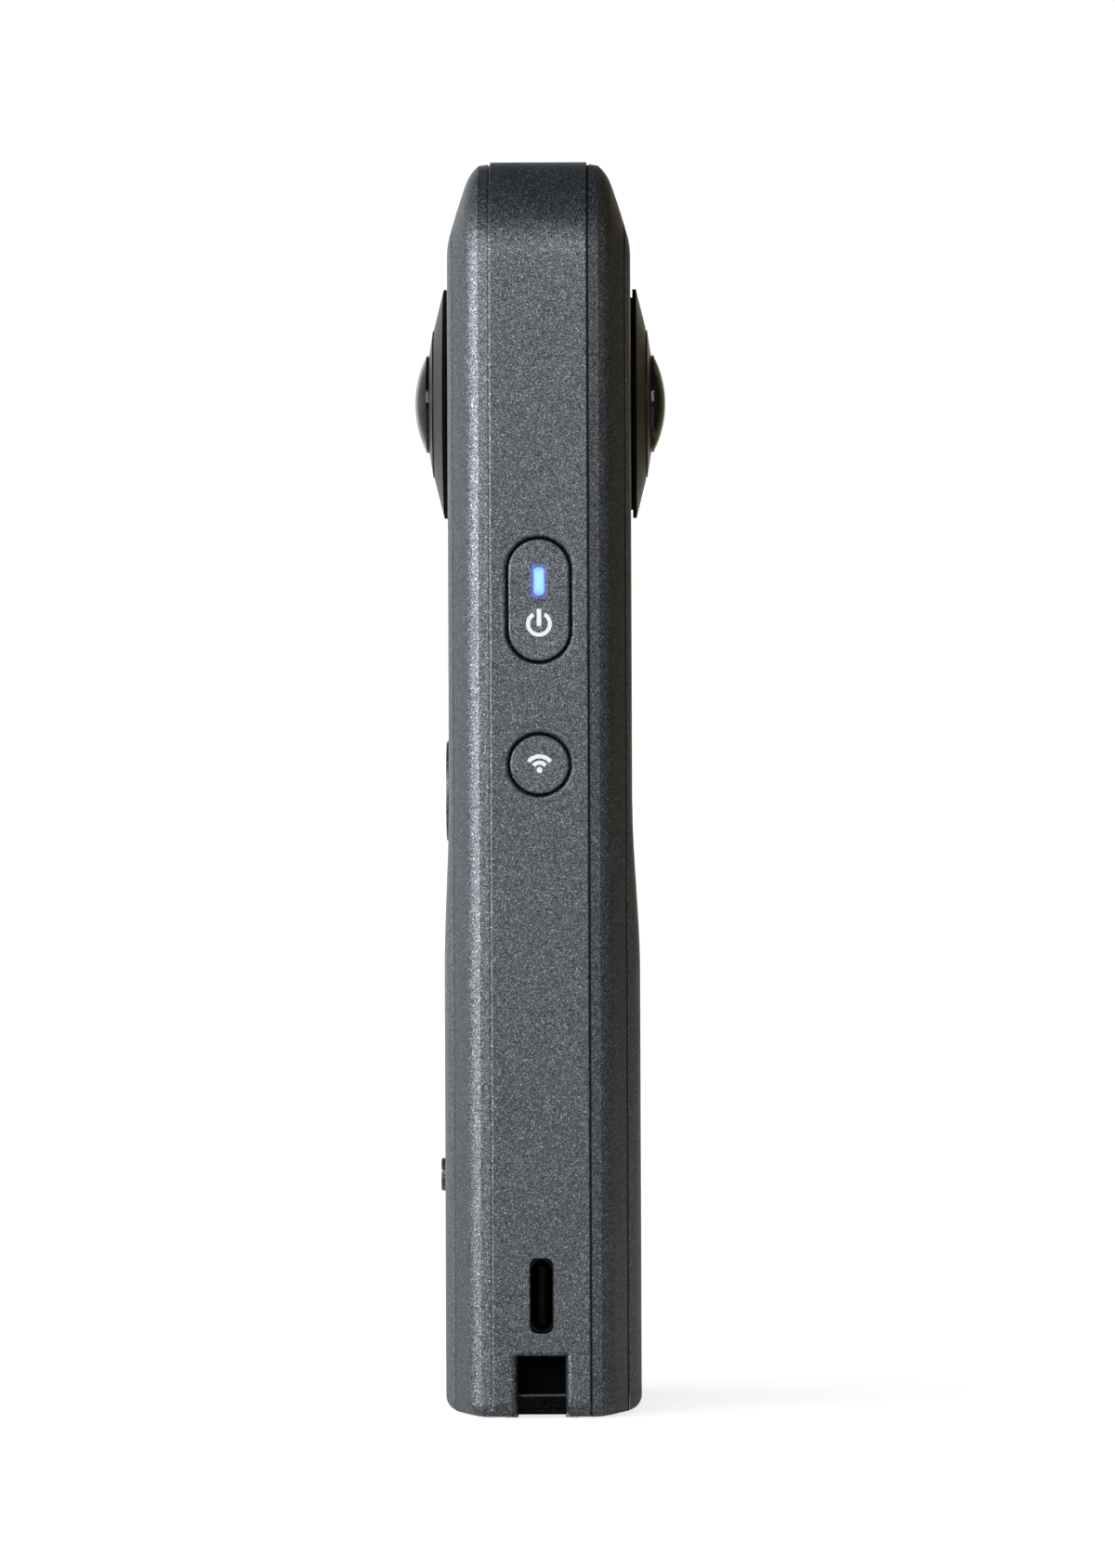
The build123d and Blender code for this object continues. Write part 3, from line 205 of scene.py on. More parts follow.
def round_lean(tree, where, node, inner, outer, at_inner, at_outer):
    """A lean away from a side button's axis, which changes between two distances from its edge."""
    low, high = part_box(node)
    radius = (high.y - low.y) / 2 - key_flange
    straight = (high.z - low.z) / 2 - key_flange - radius
    beyond = add(tree, "VectorMath", {0: where, 1: (low + high) / 2}, operation="SUBTRACT")
    x, y, z = add(tree, "SeparateXYZ", {0: beyond}).outputs
    near = add(tree, "Math", {0: add(tree, "Math", {0: z, 1: straight}, operation="MINIMUM"), 1: -straight},
               operation="MAXIMUM")
    rest = add(tree, "Math", {0: z, 1: near}, operation="SUBTRACT")
    flat = add(tree, "CombineXYZ", {1: y, 2: rest})
    distance = add(tree, "VectorMath", {0: flat}, operation="LENGTH").outputs["Value"]
    lean = add(tree, "MapRange", {0: distance, 1: radius + inner, 2: radius + outer, 3: at_inner,
                                  4: at_outer})
    away = add(tree, "VectorMath", {0: flat}, operation="NORMALIZE")
    return add(tree, "VectorMath", {0: away, "Scale": lean}, operation="SCALE")


frame_paint, tree = blank("graphite_paint_with_painted_shade_in_holes")
where, colour, rough, bump = sprayed_surface(tree, paint_gloss)
x, y, z = add(tree, "SeparateXYZ", {0: where}).outputs
aside = add(tree, "Math", {0: y}, operation="ABSOLUTE")
low = add(tree, "Math", {0: z, 1: notch_top}, operation="LESS_THAN")
edge_x = add(tree, "Math", {0: low, 1: notch_depth - hole_depth, 2: hole_depth}, operation="MULTIPLY_ADD")
foot = add(tree, "Math", {0: z, 1: recess_top}, operation="LESS_THAN")
half = add(tree, "Math", {0: foot, 1: recess_half - holes_half, 2: holes_half}, operation="MULTIPLY_ADD")
# Painted shade together with bare black polymer: the walls in the holes, the slot and the notch are coloured
# black.
inside = add(tree, "Math", {0: x, 1: edge_x}, operation="LESS_THAN")
for first, test, second in ((x, "GREATER_THAN", holes_back), (z, "LESS_THAN", holes_top),
                            (aside, "LESS_THAN", half)):
    inside = add(tree, "Math", {0: inside, 1: add(tree, "Math", {0: first, 1: second}, operation=test)},
                 operation="MULTIPLY")
colour = add(tree, "Mix", {0: inside, 6: colour, 7: polymer_black_and_painted_shade}, data_type="RGBA").outputs[2]
metal = add(tree, "Math", {0: inside, 1: -paint_metallic, 2: paint_metallic}, operation="MULTIPLY_ADD")
dull = add(tree, "Math", {0: inside, 1: polymer_black_and_painted_shade_rough}, operation="MULTIPLY")
rough = add(tree, "Math", {0: rough, 1: dull}, operation="MAXIMUM")
past = add(tree, "Math", {0: aside, 1: notch_half}, operation="SUBTRACT")
past = add(tree, "Math", {0: past, 1: 0.0}, operation="MAXIMUM")
past = add(tree, "Math", {0: past, 1: add(tree, "Math", {0: y}, operation="SIGN")}, operation="MULTIPLY")
over = add(tree, "Math", {0: z, 1: notch_ceiling}, operation="SUBTRACT")
over = add(tree, "Math", {0: over, 1: 0.0}, operation="MAXIMUM")
flat = add(tree, "CombineXYZ", {1: past, 2: over})
distance = add(tree, "VectorMath", {0: flat}, operation="LENGTH").outputs["Value"]
turned = add(tree, "MapRange", {0: distance, 2: notch_round, 3: -mouth_lean, 4: 0})
away = add(tree, "VectorMath", {0: flat}, operation="NORMALIZE")
lean = add(tree, "VectorMath", {0: away, "Scale": turned}, operation="SCALE")
for node in ("power_button", "wireless_button"):
    mouth = round_lean(tree, where, node, hole_gap, hole_gap + mouth_round, -mouth_lean, 0)
    lean = add(tree, "VectorMath", {0: lean, 1: mouth}, operation="ADD")
button_side = add(tree, "Math", {0: x, 1: 0.0}, operation="GREATER_THAN")
lean = add(tree, "VectorMath", {0: lean, "Scale": button_side}, operation="SCALE")
bump = leaned(tree, bump, lean)
surface = add(tree, "BsdfPrincipled", {"Base Color": colour, "Metallic": metal, "Roughness": rough,
                                       "Normal": bump, "Specular IOR Level": 0.1})
add(tree, "OutputMaterial", {"Surface": surface})
dress(frame_paint, "mid_frame")

# The strap bar is a moulding set back in the notch, drawn with the flake paint and single dim flakes.
# Its tones are drawn near black as painted shade; its rounded top edge is coloured light, a painted highlight
# line.
# Painted shade: the bar's tones and flakes are drawn near black.
bar_painted_shade_tones = ("020202", "030303", "060606")
bar_painted_shade_spark = "3A3B3C"
bar_gloss = (0.34, 0.42)
bar_painted_highlight = "B8BABC"
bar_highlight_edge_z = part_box("strap_bar")[1].z - 0.14 * MM

bar_paint, tree = blank("bar_paint_with_painted_shade_and_highlight")
where, colour, rough, bump = sprayed_surface(tree, bar_gloss, bar_painted_shade_tones, bar_painted_shade_spark)
height = add(tree, "SeparateXYZ", {0: where}).outputs[2]
# Painted highlight: above this height the bar's top edge is coloured light and more metallic.
coated = add(tree, "Math", {0: height, 1: bar_highlight_edge_z}, operation="GREATER_THAN")
colour = add(tree, "Mix", {0: coated, 6: colour, 7: bar_painted_highlight}, data_type="RGBA").outputs[2]
metal = add(tree, "Math", {0: coated, 1: 0.5, 2: 0.3}, operation="MULTIPLY_ADD")
surface = add(tree, "BsdfPrincipled", {"Base Color": colour, "Metallic": metal, "Roughness": rough,
                                       "Normal": bump, "Specular IOR Level": 0.06})
add(tree, "OutputMaterial", {"Surface": surface})
dress(bar_paint, "strap_bar")

# The power button is a sprayed polymer cap with a slot for the light guide and an eased rim.
# Round the guide the cap's paint emits a violet glow that fades outwards: a painted glow for the lamp's light
# on the cap.
lamp_and_painted_glow_blue = "4A55E8"
painted_glow_reach = 0.7 * MM
painted_glow_fade = 2.0
painted_glow_strength = 0.8
cap_round = 0.35 * MM
cap_lean = 0.5
lamp_low, lamp_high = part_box("power_lamp")
lamp_middle = (lamp_low + lamp_high) / 2
lamp_half = (lamp_high - lamp_low) / 2

cap_paint, tree = blank("graphite_paint_with_painted_glow")
where, colour, rough, bump = sprayed_surface(tree, paint_gloss)
bump = leaned(tree, bump, round_lean(tree, where, "power_button", -cap_round, 0, 0, cap_lean))
# Painted glow: the cap emits violet round the light guide, fading outwards.
beyond = add(tree, "VectorMath", {0: where, 1: lamp_middle}, operation="SUBTRACT")
beyond = add(tree, "VectorMath", {0: beyond}, operation="ABSOLUTE")
beyond = add(tree, "VectorMath", {0: beyond, 1: lamp_half}, operation="SUBTRACT")
beyond = add(tree, "VectorMath", {0: beyond, 1: (0, 0, 0)}, operation="MAXIMUM")
reach = add(tree, "VectorMath", {0: beyond}, operation="LENGTH").outputs["Value"]
glow = add(tree, "Math", {0: reach, 1: -1 / painted_glow_reach, 2: 1.0}, operation="MULTIPLY_ADD")
glow = add(tree, "Math", {0: glow, 1: 0.0}, operation="MAXIMUM")
glow = add(tree, "Math", {0: glow, 1: painted_glow_fade}, operation="POWER")
painted_glow = add(tree, "Mix", {0: glow, 6: "000000", 7: lamp_and_painted_glow_blue}, data_type="RGBA").outputs[2]
surface = add(tree, "BsdfPrincipled", {"Base Color": colour, "Metallic": paint_metallic, "Roughness": rough,
                                       "Normal": bump, "Emission Color": painted_glow,
                                       "Emission Strength": painted_glow_strength})
add(tree, "OutputMaterial", {"Surface": surface})
dress(cap_paint, "power_button")

# The round wireless button is a sprayed polymer cap like the power button's, without a light.
# Its rim is eased in the same way.
wireless_paint, tree = blank("sprayed_wireless_cap")
where, colour, rough, bump = sprayed_surface(tree, paint_gloss)
bump = leaned(tree, bump, round_lean(tree, where, "wireless_button", -cap_round, 0, 0, cap_lean))
surface = add(tree, "BsdfPrincipled", {"Base Color": colour, "Metallic": paint_metallic, "Roughness": rough,
                                       "Normal": bump})
add(tree, "OutputMaterial", {"Surface": surface})
dress(wireless_paint, "wireless_button")

# The light guide is a clear polycarbonate block, lit from behind by a status lamp.
# Its core is nearly white and it turns bluer towards its rim, where less of the light gets out.
lamp_core = "ACE9FD"
lamp_rim = "7CC8FF"
lamp_corner = 0.42 * MM
lamp_body = "20303A"

lamp_light, tree = blank("lit_polycarbonate_guide")
where = add(tree, "TexCoord").outputs["Object"]
off_middle = add(tree, "VectorMath", {0: where, 1: lamp_middle}, operation="SUBTRACT")
off_middle = add(tree, "VectorMath", {0: off_middle}, operation="ABSOLUTE")
beyond = add(tree, "VectorMath", {0: off_middle, 1: lamp_half}, operation="DIVIDE")
parts = add(tree, "SeparateXYZ", {0: beyond}).outputs
rim = add(tree, "Math", {0: parts[1], 1: parts[2]}, operation="MAXIMUM")
colour = add(tree, "ValToRGB", {"Fac": rim}, ((0.55, lamp_core), (1.0, lamp_rim)))
inset = lamp_half - Vector((lamp_half.x, lamp_corner, lamp_corner))
beyond = add(tree, "VectorMath", {0: off_middle, 1: inset}, operation="SUBTRACT")
beyond = add(tree, "VectorMath", {0: beyond, 1: (0, 0, 0)}, operation="MAXIMUM")
beyond = add(tree, "VectorMath", {0: beyond, 1: (0, 1, 1)}, operation="MULTIPLY")
corner = add(tree, "VectorMath", {0: beyond}, operation="LENGTH").outputs["Value"]
corner = add(tree, "Math", {0: corner, 1: lamp_corner}, operation="GREATER_THAN")
colour = add(tree, "Mix", {0: corner, 6: colour, 7: lamp_and_painted_glow_blue}, data_type="RGBA").outputs[2]
surface = add(tree, "BsdfPrincipled", {"Base Color": lamp_body, "Roughness": 0.25, "Emission Color": colour,
                                       "Emission Strength": 1.0})
add(tree, "OutputMaterial", {"Surface": surface})
dress(lamp_light, "power_lamp")

# The power mark is pad-printed on its button in white ink, a film of 0.02 mm.
# It is a ring with a gap and a bar. The ink is satin, with pinholes where it sat on single grains.
ink_white = "FFFFFF"
ink_hole = "E8EAEC"
ink_thickness = 0.02 * MM
ink_sunk = 0.004 * MM
ink_grain_height = 0.004 * MM
ring_outer = 1.54 * MM
ring_stroke = 0.47 * MM
ring_gap_angle = math.radians(30)
ring_centre_z = 94.94 * MM
ring_steps = 96
mark_bar_width = 0.55 * MM
mark_bar_z = (94.69 * MM, 96.73 * MM)

ink, tree = blank("white_pad_print_ink")
where = add(tree, "TexCoord").outputs["Object"]
holes = add(tree, "TexVoronoi", {"Vector": where, "Scale": 1 / grain_size})
colour = add(tree, "ValToRGB", {"Fac": holes}, ((0.0, ink_hole), (0.12, ink_white)))
grain = add(tree, "TexNoise", {"Vector": where, "Scale": 1 / grain_size})
bump = add(tree, "Bump", {"Height": grain, "Distance": ink_grain_height})
surface = add(tree, "BsdfPrincipled", {"Base Color": colour, "Roughness": 0.45, "Normal": bump})
add(tree, "OutputMaterial", {"Surface": surface})


def deselect():
    """Nothing is selected before a new piece starts."""
    bpy.ops.object.select_all(action="DESELECT")


def choose(obj, kind, test):
    """Selects in edit mode the vertices, edges or faces whose middle passes a test."""
    shape = bmesh.from_edit_mesh(obj.data)
    bpy.ops.mesh.select_all(action="DESELECT")
    shape.select_mode = {{"verts": "VERT", "edges": "EDGE", "faces": "FACE"}[kind]}
    for item in getattr(shape, kind):
        centre = item.co if kind == "verts" else sum((v.co for v in item.verts), Vector()) / len(item.verts)
        item.select_set(bool(test(centre)))
    shape.select_flush_mode()
    bmesh.update_edit_mesh(obj.data)


def primitive(kind, scale=(1, 1, 1), **settings):
    """A new primitive at its size and place, with its place in its mesh."""
    deselect()
    getattr(bpy.ops.mesh, "primitive_" + kind + "_add")(**settings)
    bpy.context.object.scale = scale
    bpy.ops.object.transform_apply(location=True, rotation=True, scale=True)
    return bpy.context.object


def join(name, *parts):
    """One object of several, with doubles merged and faces turned outwards."""
    deselect()
    for part in parts:
        part.select_set(True)
    bpy.context.view_layer.objects.active = parts[0]
    if len(parts) > 1:
        bpy.ops.object.join()
    parts[0].name = name
    bpy.ops.object.mode_set(mode="EDIT")
    bpy.ops.mesh.select_all(action="SELECT")
    bpy.ops.mesh.remove_doubles(threshold=0.001 * MM)
    bpy.ops.mesh.normals_make_consistent(inside=False)
    bpy.ops.object.mode_set(mode="OBJECT")
    return parts[0]


def thicken(obj, thickness):
    """Gives a flat figure its thickness, half to each side."""
    solid = obj.modifiers.new("thickness", "SOLIDIFY")
    solid.thickness = thickness
    solid.offset = 0
    bpy.ops.object.modifier_apply(modifier=solid.name)
    return obj


def settle(obj, material, body):
    """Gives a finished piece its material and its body."""
    obj.data.materials.clear()
    obj.data.materials.append(material)
    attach(obj, body)
    return obj


def flat_ring(x, z, inner, outer, keep):
    """A flat ring in a side face, of the faces whose angle from upright is kept."""
    obj = primitive("circle", vertices=ring_steps, radius=outer, location=(x, 0, z),
                    rotation=(0, math.pi / 2, 0))
    bpy.ops.object.mode_set(mode="EDIT")
    bpy.ops.mesh.select_all(action="SELECT")
    bpy.ops.mesh.extrude_edges_move()
    bpy.ops.transform.resize(value=(1, inner / outer, inner / outer), center_override=(x, 0, z))
    choose(obj, "faces", lambda c: not keep(abs(math.atan2(c.y, c.z - z))))
    bpy.ops.mesh.delete(type="FACE")
    bpy.ops.object.mode_set(mode="OBJECT")
    return obj


def print_x(node):
    """The middle of an ink film on a button's face."""
    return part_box(node)[1].x + ink_thickness / 2 - ink_sunk


power_x = print_x("power_button")
ring = flat_ring(power_x, ring_centre_z, ring_outer - ring_stroke, ring_outer, lambda a: a > ring_gap_angle)
bar = primitive("plane", size=1, location=(power_x, 0, sum(mark_bar_z) / 2), rotation=(0, math.pi / 2, 0),
                scale=(mark_bar_z[1] - mark_bar_z[0], mark_bar_width, 1))
settle(thicken(join("power_mark", ring, bar), ink_thickness), ink, "power_key")

# The wireless mark on the round button is printed the same way: a dot under two arcs.
arc_half_angle = math.radians(52)
arc_radii = ((0.64 * MM, 1.13 * MM), (1.40 * MM, 1.885 * MM))
arc_centre_z = 77.47 * MM
dot_radius = 0.35 * MM
dot_steps = 32

wireless_x = print_x("wireless_button")
figures = [flat_ring(wireless_x, arc_centre_z, inner, outer, lambda a: a < arc_half_angle)
           for inner, outer in arc_radii]
figures.append(primitive("circle", vertices=dot_steps, radius=dot_radius, fill_type="NGON",
                         location=(wireless_x, 0, arc_centre_z), rotation=(0, math.pi / 2, 0)))
settle(thicken(join("wireless_mark", *figures), ink_thickness), ink, "wireless_key")

# The shutter and mode buttons are moulded caps, sprayed like the shells, with a raised round top.
# The turned mould leaves fine rings on their faces, 0.18 mm apart and too shallow to see from the side.
button_tops = {"shutter": (6.15 * MM, 0.31 * MM), "mode": (2.0 * MM, 0.43 * MM)}
top_sunk = 0.1 * MM
top_round = 0.2 * MM
top_steps = 72
top_smooth = math.radians(35)
edge_reach = 0.01 * MM
button_gloss = (0.32, 0.4)
button_ring_pitch = 0.18 * MM
button_ring_height = 0.002 * MM


def axis_distance(tree, where, middle):
    """The distance from an axis that runs front to back through a point."""
    centred = add(tree, "Mapping", {"Vector": where, "Location": (-middle.x, 0, -middle.z)})
    flat = add(tree, "VectorMath", {0: centred, 1: (1, 0, 1)}, operation="MULTIPLY")
    return add(tree, "VectorMath", {0: flat}, operation="LENGTH").outputs["Value"]


def turning_rings(tree, where, middle, pitch):
    """The wave of fine turned rings about such an axis."""
    turns = add(tree, "Math", {0: axis_distance(tree, where, middle), 1: math.tau / pitch},
                operation="MULTIPLY")
    return add(tree, "Math", {0: turns}, operation="SINE")


for key, (top_radius, top_height) in button_tops.items():
    low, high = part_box(key + "_button")
    cap, tree = blank(key + "_button_sprayed_cap")
    where, colour, rough, bump = sprayed_surface(tree, button_gloss)
    wave = turning_rings(tree, where, (low + high) / 2, button_ring_pitch)
    bump = add(tree, "Bump", {"Height": wave, "Distance": button_ring_height, "Normal": bump})
    surface = add(tree, "BsdfPrincipled", {"Base Color": colour, "Metallic": paint_metallic,
                                           "Roughness": rough, "Normal": bump})
    add(tree, "OutputMaterial", {"Surface": surface})
    dress(cap, key + "_button")

    face = low.y - top_height
    middle = (0, low.y + (top_sunk - top_height) / 2, (low.z + high.z) / 2)
    top = primitive("cylinder", vertices=top_steps, radius=top_radius, depth=top_height + top_sunk,
                    location=middle, rotation=(math.pi / 2, 0, 0))
    bpy.ops.object.mode_set(mode="EDIT")
    choose(top, "edges", lambda c: c.y < face + edge_reach)
    bpy.ops.mesh.bevel(offset=top_round, segments=4)
    bpy.ops.object.mode_set(mode="OBJECT")
    bpy.ops.object.shade_smooth_by_angle(angle=top_smooth)
    settle(join(key + "_button_top", top), cap, key + "_key")

# The outer lens rings, the bezels, are glass-filled nylon with a warm black satin coat.
# Their cones keep fine turned rings, which stretch a highlight along the cone.
# Below the cone's edge their rim is coloured near black and fully rough, its black deepened as painted shade
# of the groove round it.
lens_axis = (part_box("front_lens_ring")[0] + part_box("front_lens_ring")[1]) / 2
rim_front = 11.77 * MM
speck_size = 0.25 * MM
# Painted shade: the near-black colour of the bezels' rim, for the shade in the groove round them.
matt_black = "010101"


def turned_finish(name, tones, gloss, pitch, height, metallic=0.0, rim_shade_below=0.0):
    """A dark finish with turned rings, near black and fully rough as painted shade up to a distance from the
    body's middle plane.
    """
    finish, tree = blank(name)
    where = add(tree, "TexCoord").outputs["Object"]
    wave = turning_rings(tree, where, lens_axis, pitch)
    speck = add(tree, "TexNoise", {"Vector": where, "Scale": 1 / speck_size, "Detail": 3.0})
    ahead = add(tree, "SeparateXYZ", {0: where}).outputs[1]
    ahead = add(tree, "Math", {0: ahead}, operation="ABSOLUTE")
    # Painted shade: below this distance the finish is near black and fully rough.
    matt = add(tree, "Math", {0: ahead, 1: rim_shade_below}, operation="LESS_THAN")
    colour = add(tree, "ValToRGB", {"Fac": speck}, zip((0.3, 0.7), tones))
    colour = add(tree, "Mix", {0: matt, 6: colour, 7: matt_black}, data_type="RGBA").outputs[2]
    rough = add(tree, "ValToRGB", {"Fac": speck}, zip((0.3, 0.7), gloss))
    rough = add(tree, "Math", {0: rough, 1: matt}, operation="MAXIMUM")
    bump = add(tree, "Bump", {"Height": wave, "Distance": height})
    surface = add(tree, "BsdfPrincipled", {"Base Color": colour, "Metallic": metallic, "Roughness": rough,
                                           "Normal": bump, "Specular IOR Level": 0.22})
    add(tree, "OutputMaterial", {"Surface": surface})
    return finish


bezel_coat = turned_finish("satin_black_lens_coat_with_painted_rim_shade", ("171614", "1F1D1A"), gloss=(0.34, 0.42),
                           pitch=0.25 * MM, height=0.003 * MM, rim_shade_below=rim_front)
dress(bezel_coat, "front_lens_bezel", "rear_lens_bezel")

# The inner lens rings are black anodised aluminium, screwed into the bezels.
# They are turned finer than the bezels and look a little warm in the light.
ring_anodised = turned_finish("black_anodised_aluminium", ("161412", "1E1B18"), gloss=(0.3, 0.38),
                              pitch=0.12 * MM, height=0.0015 * MM, metallic=0.3)
dress(ring_anodised, "front_lens_ring", "rear_lens_ring")

# The lens barrels are moulded polymer, matt black inside and out.
# Turned light traps in them swallow stray light, so they stay dark behind the glass.
barrel_black = turned_finish("matt_black_lens_barrel", ("030303", "060606"), gloss=(0.7, 0.8),
                             pitch=0.22 * MM, height=0.02 * MM)
dress(barrel_black, "front_lens_barrel", "rear_lens_barrel")

# The front glasses are polished domes with a clear coat against reflections.
# The glass is clear at its thin rim and darkens with its depth, so the lens looks black behind it.
smear_size = 3 * MM

dome_glass, tree = blank("polished_coated_glass")
where = add(tree, "TexCoord").outputs["Object"]
smear = add(tree, "TexNoise", {"Vector": where, "Scale": 1 / smear_size, "Detail": 2.0})
rough = add(tree, "ValToRGB", {"Fac": smear}, ((0.3, 0.0), (0.8, 0.03)))
surface = add(tree, "BsdfPrincipled", {"Base Color": "F4F7F6", "Roughness": rough, "IOR": 1.52,
                                       "Transmission Weight": 1.0, "Specular IOR Level": 0.2})
depth = add(tree, "VolumeAbsorption", {"Color": "59625F", "Density": 850.0})
add(tree, "OutputMaterial", {"Surface": surface, "Volume": depth})
dress(dome_glass, "front_lens_glass", "rear_lens_glass")

# The second lens is a deep meniscus of optical glass close under the front glass, blackened on its edge.
# Its coat shows green to grey at a slant, and it swallows the light that isn't turned away.
inner_clear = 4.2 * MM
inner_tones = ((0.0, "060908"), (0.6, "08100D"), (0.95, "050908"), (1.0, "010101"))

inner_glass, tree = blank("green_coated_second_lens")
where = add(tree, "TexCoord").outputs["Object"]
share = add(tree, "Math", {0: axis_distance(tree, where, lens_axis), 1: inner_clear}, operation="DIVIDE")
colour = add(tree, "ValToRGB", {"Fac": share}, inner_tones)
surface = add(tree, "BsdfPrincipled", {"Base Color": colour, "Roughness": 0.2,
                                       "Specular IOR Level": 0.05, "Specular Tint": "9FD8B4"})
add(tree, "OutputMaterial", {"Surface": surface})
dress(inner_glass, "front_inner_lens", "rear_inner_lens")

# The charging socket is a steel shell, drawn from sheet, round a black tongue; its steel is drawn dark as
# painted shade.
# Deep in its slot the shell is coloured black like the tongue, as painted shade, and only the shell's mouth
# shows its steel.
tongue_half = 0.4 * MM
shade_free_mouth_depth = 0.12 * MM
drawn_size = 0.4 * MM
socket_low, socket_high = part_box("usb_receptacle")

socket_steel, tree = blank("socket_steel_with_painted_shade")
where = add(tree, "TexCoord").outputs["Object"]
x, y, z = add(tree, "SeparateXYZ", {0: where}).outputs
aside = add(tree, "Math", {0: y}, operation="ABSOLUTE")
shell = add(tree, "Math", {0: aside, 1: tongue_half}, operation="GREATER_THAN")
# Painted shade: only the shell's mouth keeps its steel colour; deeper in, the shell is coloured black.
mouth = add(tree, "Math", {0: x, 1: socket_high.x - shade_free_mouth_depth}, operation="GREATER_THAN")
share = add(tree, "Math", {0: shell, 1: mouth}, operation="MULTIPLY")
drawn = add(tree, "TexNoise", {"Vector": where, "Scale": 1 / drawn_size})
# Painted shade: the steel's tones are drawn dark.
steel = add(tree, "ValToRGB", {"Fac": drawn}, ((0.3, "1B1A19"), (0.7, "262524")))
colour = add(tree, "Mix", {0: share, 6: "050505", 7: steel}, data_type="RGBA").outputs[2]
rough = add(tree, "ValToRGB", {"Fac": drawn}, ((0.3, 0.3), (0.7, 0.42)))
surface = add(tree, "BsdfPrincipled", {"Base Color": colour, "Metallic": shell, "Roughness": rough,
                                       "Specular IOR Level": 0.06})
add(tree, "OutputMaterial", {"Surface": surface})
dress(socket_steel, "usb_receptacle")

# On both faces of the tongue lie twelve gold-plated contacts, stamped and moulded in.
# They are flush but for their eased edges, 0.5 mm apart.
contact_count = 12
contact_pitch = 0.5 * MM
contact_size = (3.2 * MM, 0.03 * MM, 0.26 * MM)
contact_setback = 1.7 * MM
contact_bevel = 0.01 * MM
tongue_face = 0.35 * MM
plating_size = 0.2 * MM

gold, tree = blank("gold_plated_contacts")
where = add(tree, "TexCoord").outputs["Object"]
plating = add(tree, "TexNoise", {"Vector": where, "Scale": 1 / plating_size})
colour = add(tree, "ValToRGB", {"Fac": plating}, ((0.3, "B8924A"), (0.7, "CBA75E")))
rough = add(tree, "ValToRGB", {"Fac": plating}, ((0.3, 0.25), (0.7, 0.35)))
surface = add(tree, "BsdfPrincipled", {"Base Color": colour, "Metallic": 1.0, "Roughness": rough})
add(tree, "OutputMaterial", {"Surface": surface})

socket_z = (socket_low.z + socket_high.z) / 2
first_z = socket_z - (contact_count - 1) / 2 * contact_pitch
first_x = socket_high.x - contact_setback - contact_size[0] / 2
pad = primitive("cube", size=1, location=(first_x, tongue_face, first_z), scale=contact_size)
bpy.ops.object.mode_set(mode="EDIT")
choose(pad, "edges", lambda c: c.y > tongue_face)
bpy.ops.mesh.bevel(offset=contact_bevel, segments=1)
bpy.ops.object.mode_set(mode="OBJECT")


def copied(obj, matrix):
    """A copy of a piece with its own mesh, moved or turned in its mesh."""
    other = obj.copy()
    other.data = obj.data.copy()
    other.data.transform(matrix)
    bpy.context.scene.collection.objects.link(other)
    return other


row = [pad] + [copied(pad, Matrix.Translation((0, 0, step * contact_pitch)))
               for step in range(1, contact_count)]
other_face = Matrix.Rotation(math.pi, 4, "X") @ Matrix.Translation((0, 0, -2 * socket_z))
row += [copied(each, other_face) for each in row]
settle(join("usb_contacts", *row), gold, "camera_body")

# The tripod bush is turned from brass and moulded into the frame's boss.
# Its thread has 20 turns to the inch: a ridge inside the bore with flat crests.
thread_pitch = 1.27 * MM
thread_depth = 0.55 * MM
thread_turns = 5
thread_steps = 48
bore_radius = 3.175 * MM
ridge_root = 0.03 * MM
ridge_foot = 0.84 * thread_pitch
ridge_crest_share = 0.19
thread_clear = 0.05 * MM
tarnish_size = 0.5 * MM

brass, tree = blank("turned_brass")
where = add(tree, "TexCoord").outputs["Object"]
tarnish = add(tree, "TexNoise", {"Vector": where, "Scale": 1 / tarnish_size, "Detail": 3.0})
colour = add(tree, "ValToRGB", {"Fac": tarnish}, ((0.3, "8E7440"), (0.7, "A3874E")))
rough = add(tree, "ValToRGB", {"Fac": tarnish}, ((0.3, 0.3), (0.7, 0.42)))
surface = add(tree, "BsdfPrincipled", {"Base Color": colour, "Metallic": 1.0, "Roughness": rough})
add(tree, "OutputMaterial", {"Surface": surface})
dress(brass, "tripod_bush")

ridge_x = bore_radius + (ridge_root - thread_depth) / 2
ridge_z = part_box("tripod_bush")[0].z + ridge_foot / 2 + thread_clear
thread = primitive("plane", size=1, location=(ridge_x, 0, ridge_z), rotation=(math.pi / 2, 0, 0),
                   scale=(thread_depth + ridge_root, ridge_foot, 1))
bpy.ops.object.mode_set(mode="EDIT")
choose(thread, "verts", lambda c: c.x < ridge_x)
bpy.ops.transform.resize(value=(1, 1, ridge_crest_share), center_override=(ridge_x, 0, ridge_z))
bpy.ops.object.mode_set(mode="OBJECT")
screw = thread.modifiers.new("thread", "SCREW")
screw.axis = "Z"
screw.angle = math.tau
screw.screw_offset = thread_pitch
screw.iterations = thread_turns
screw.steps = screw.render_steps = thread_steps
screw.use_merge_vertices = True
bpy.ops.object.modifier_apply(modifier=screw.name)
settle(join("tripod_thread_ridge", thread), brass, "camera_body")

# The base plate is moulded black polymer, snapped into the underside, with a fine spark-eroded grain.
# The display holder, battery tray and speaker are plain mouldings of the same polymer.
spark_grain = 0.25 * MM
spark_grain_height = 0.015 * MM

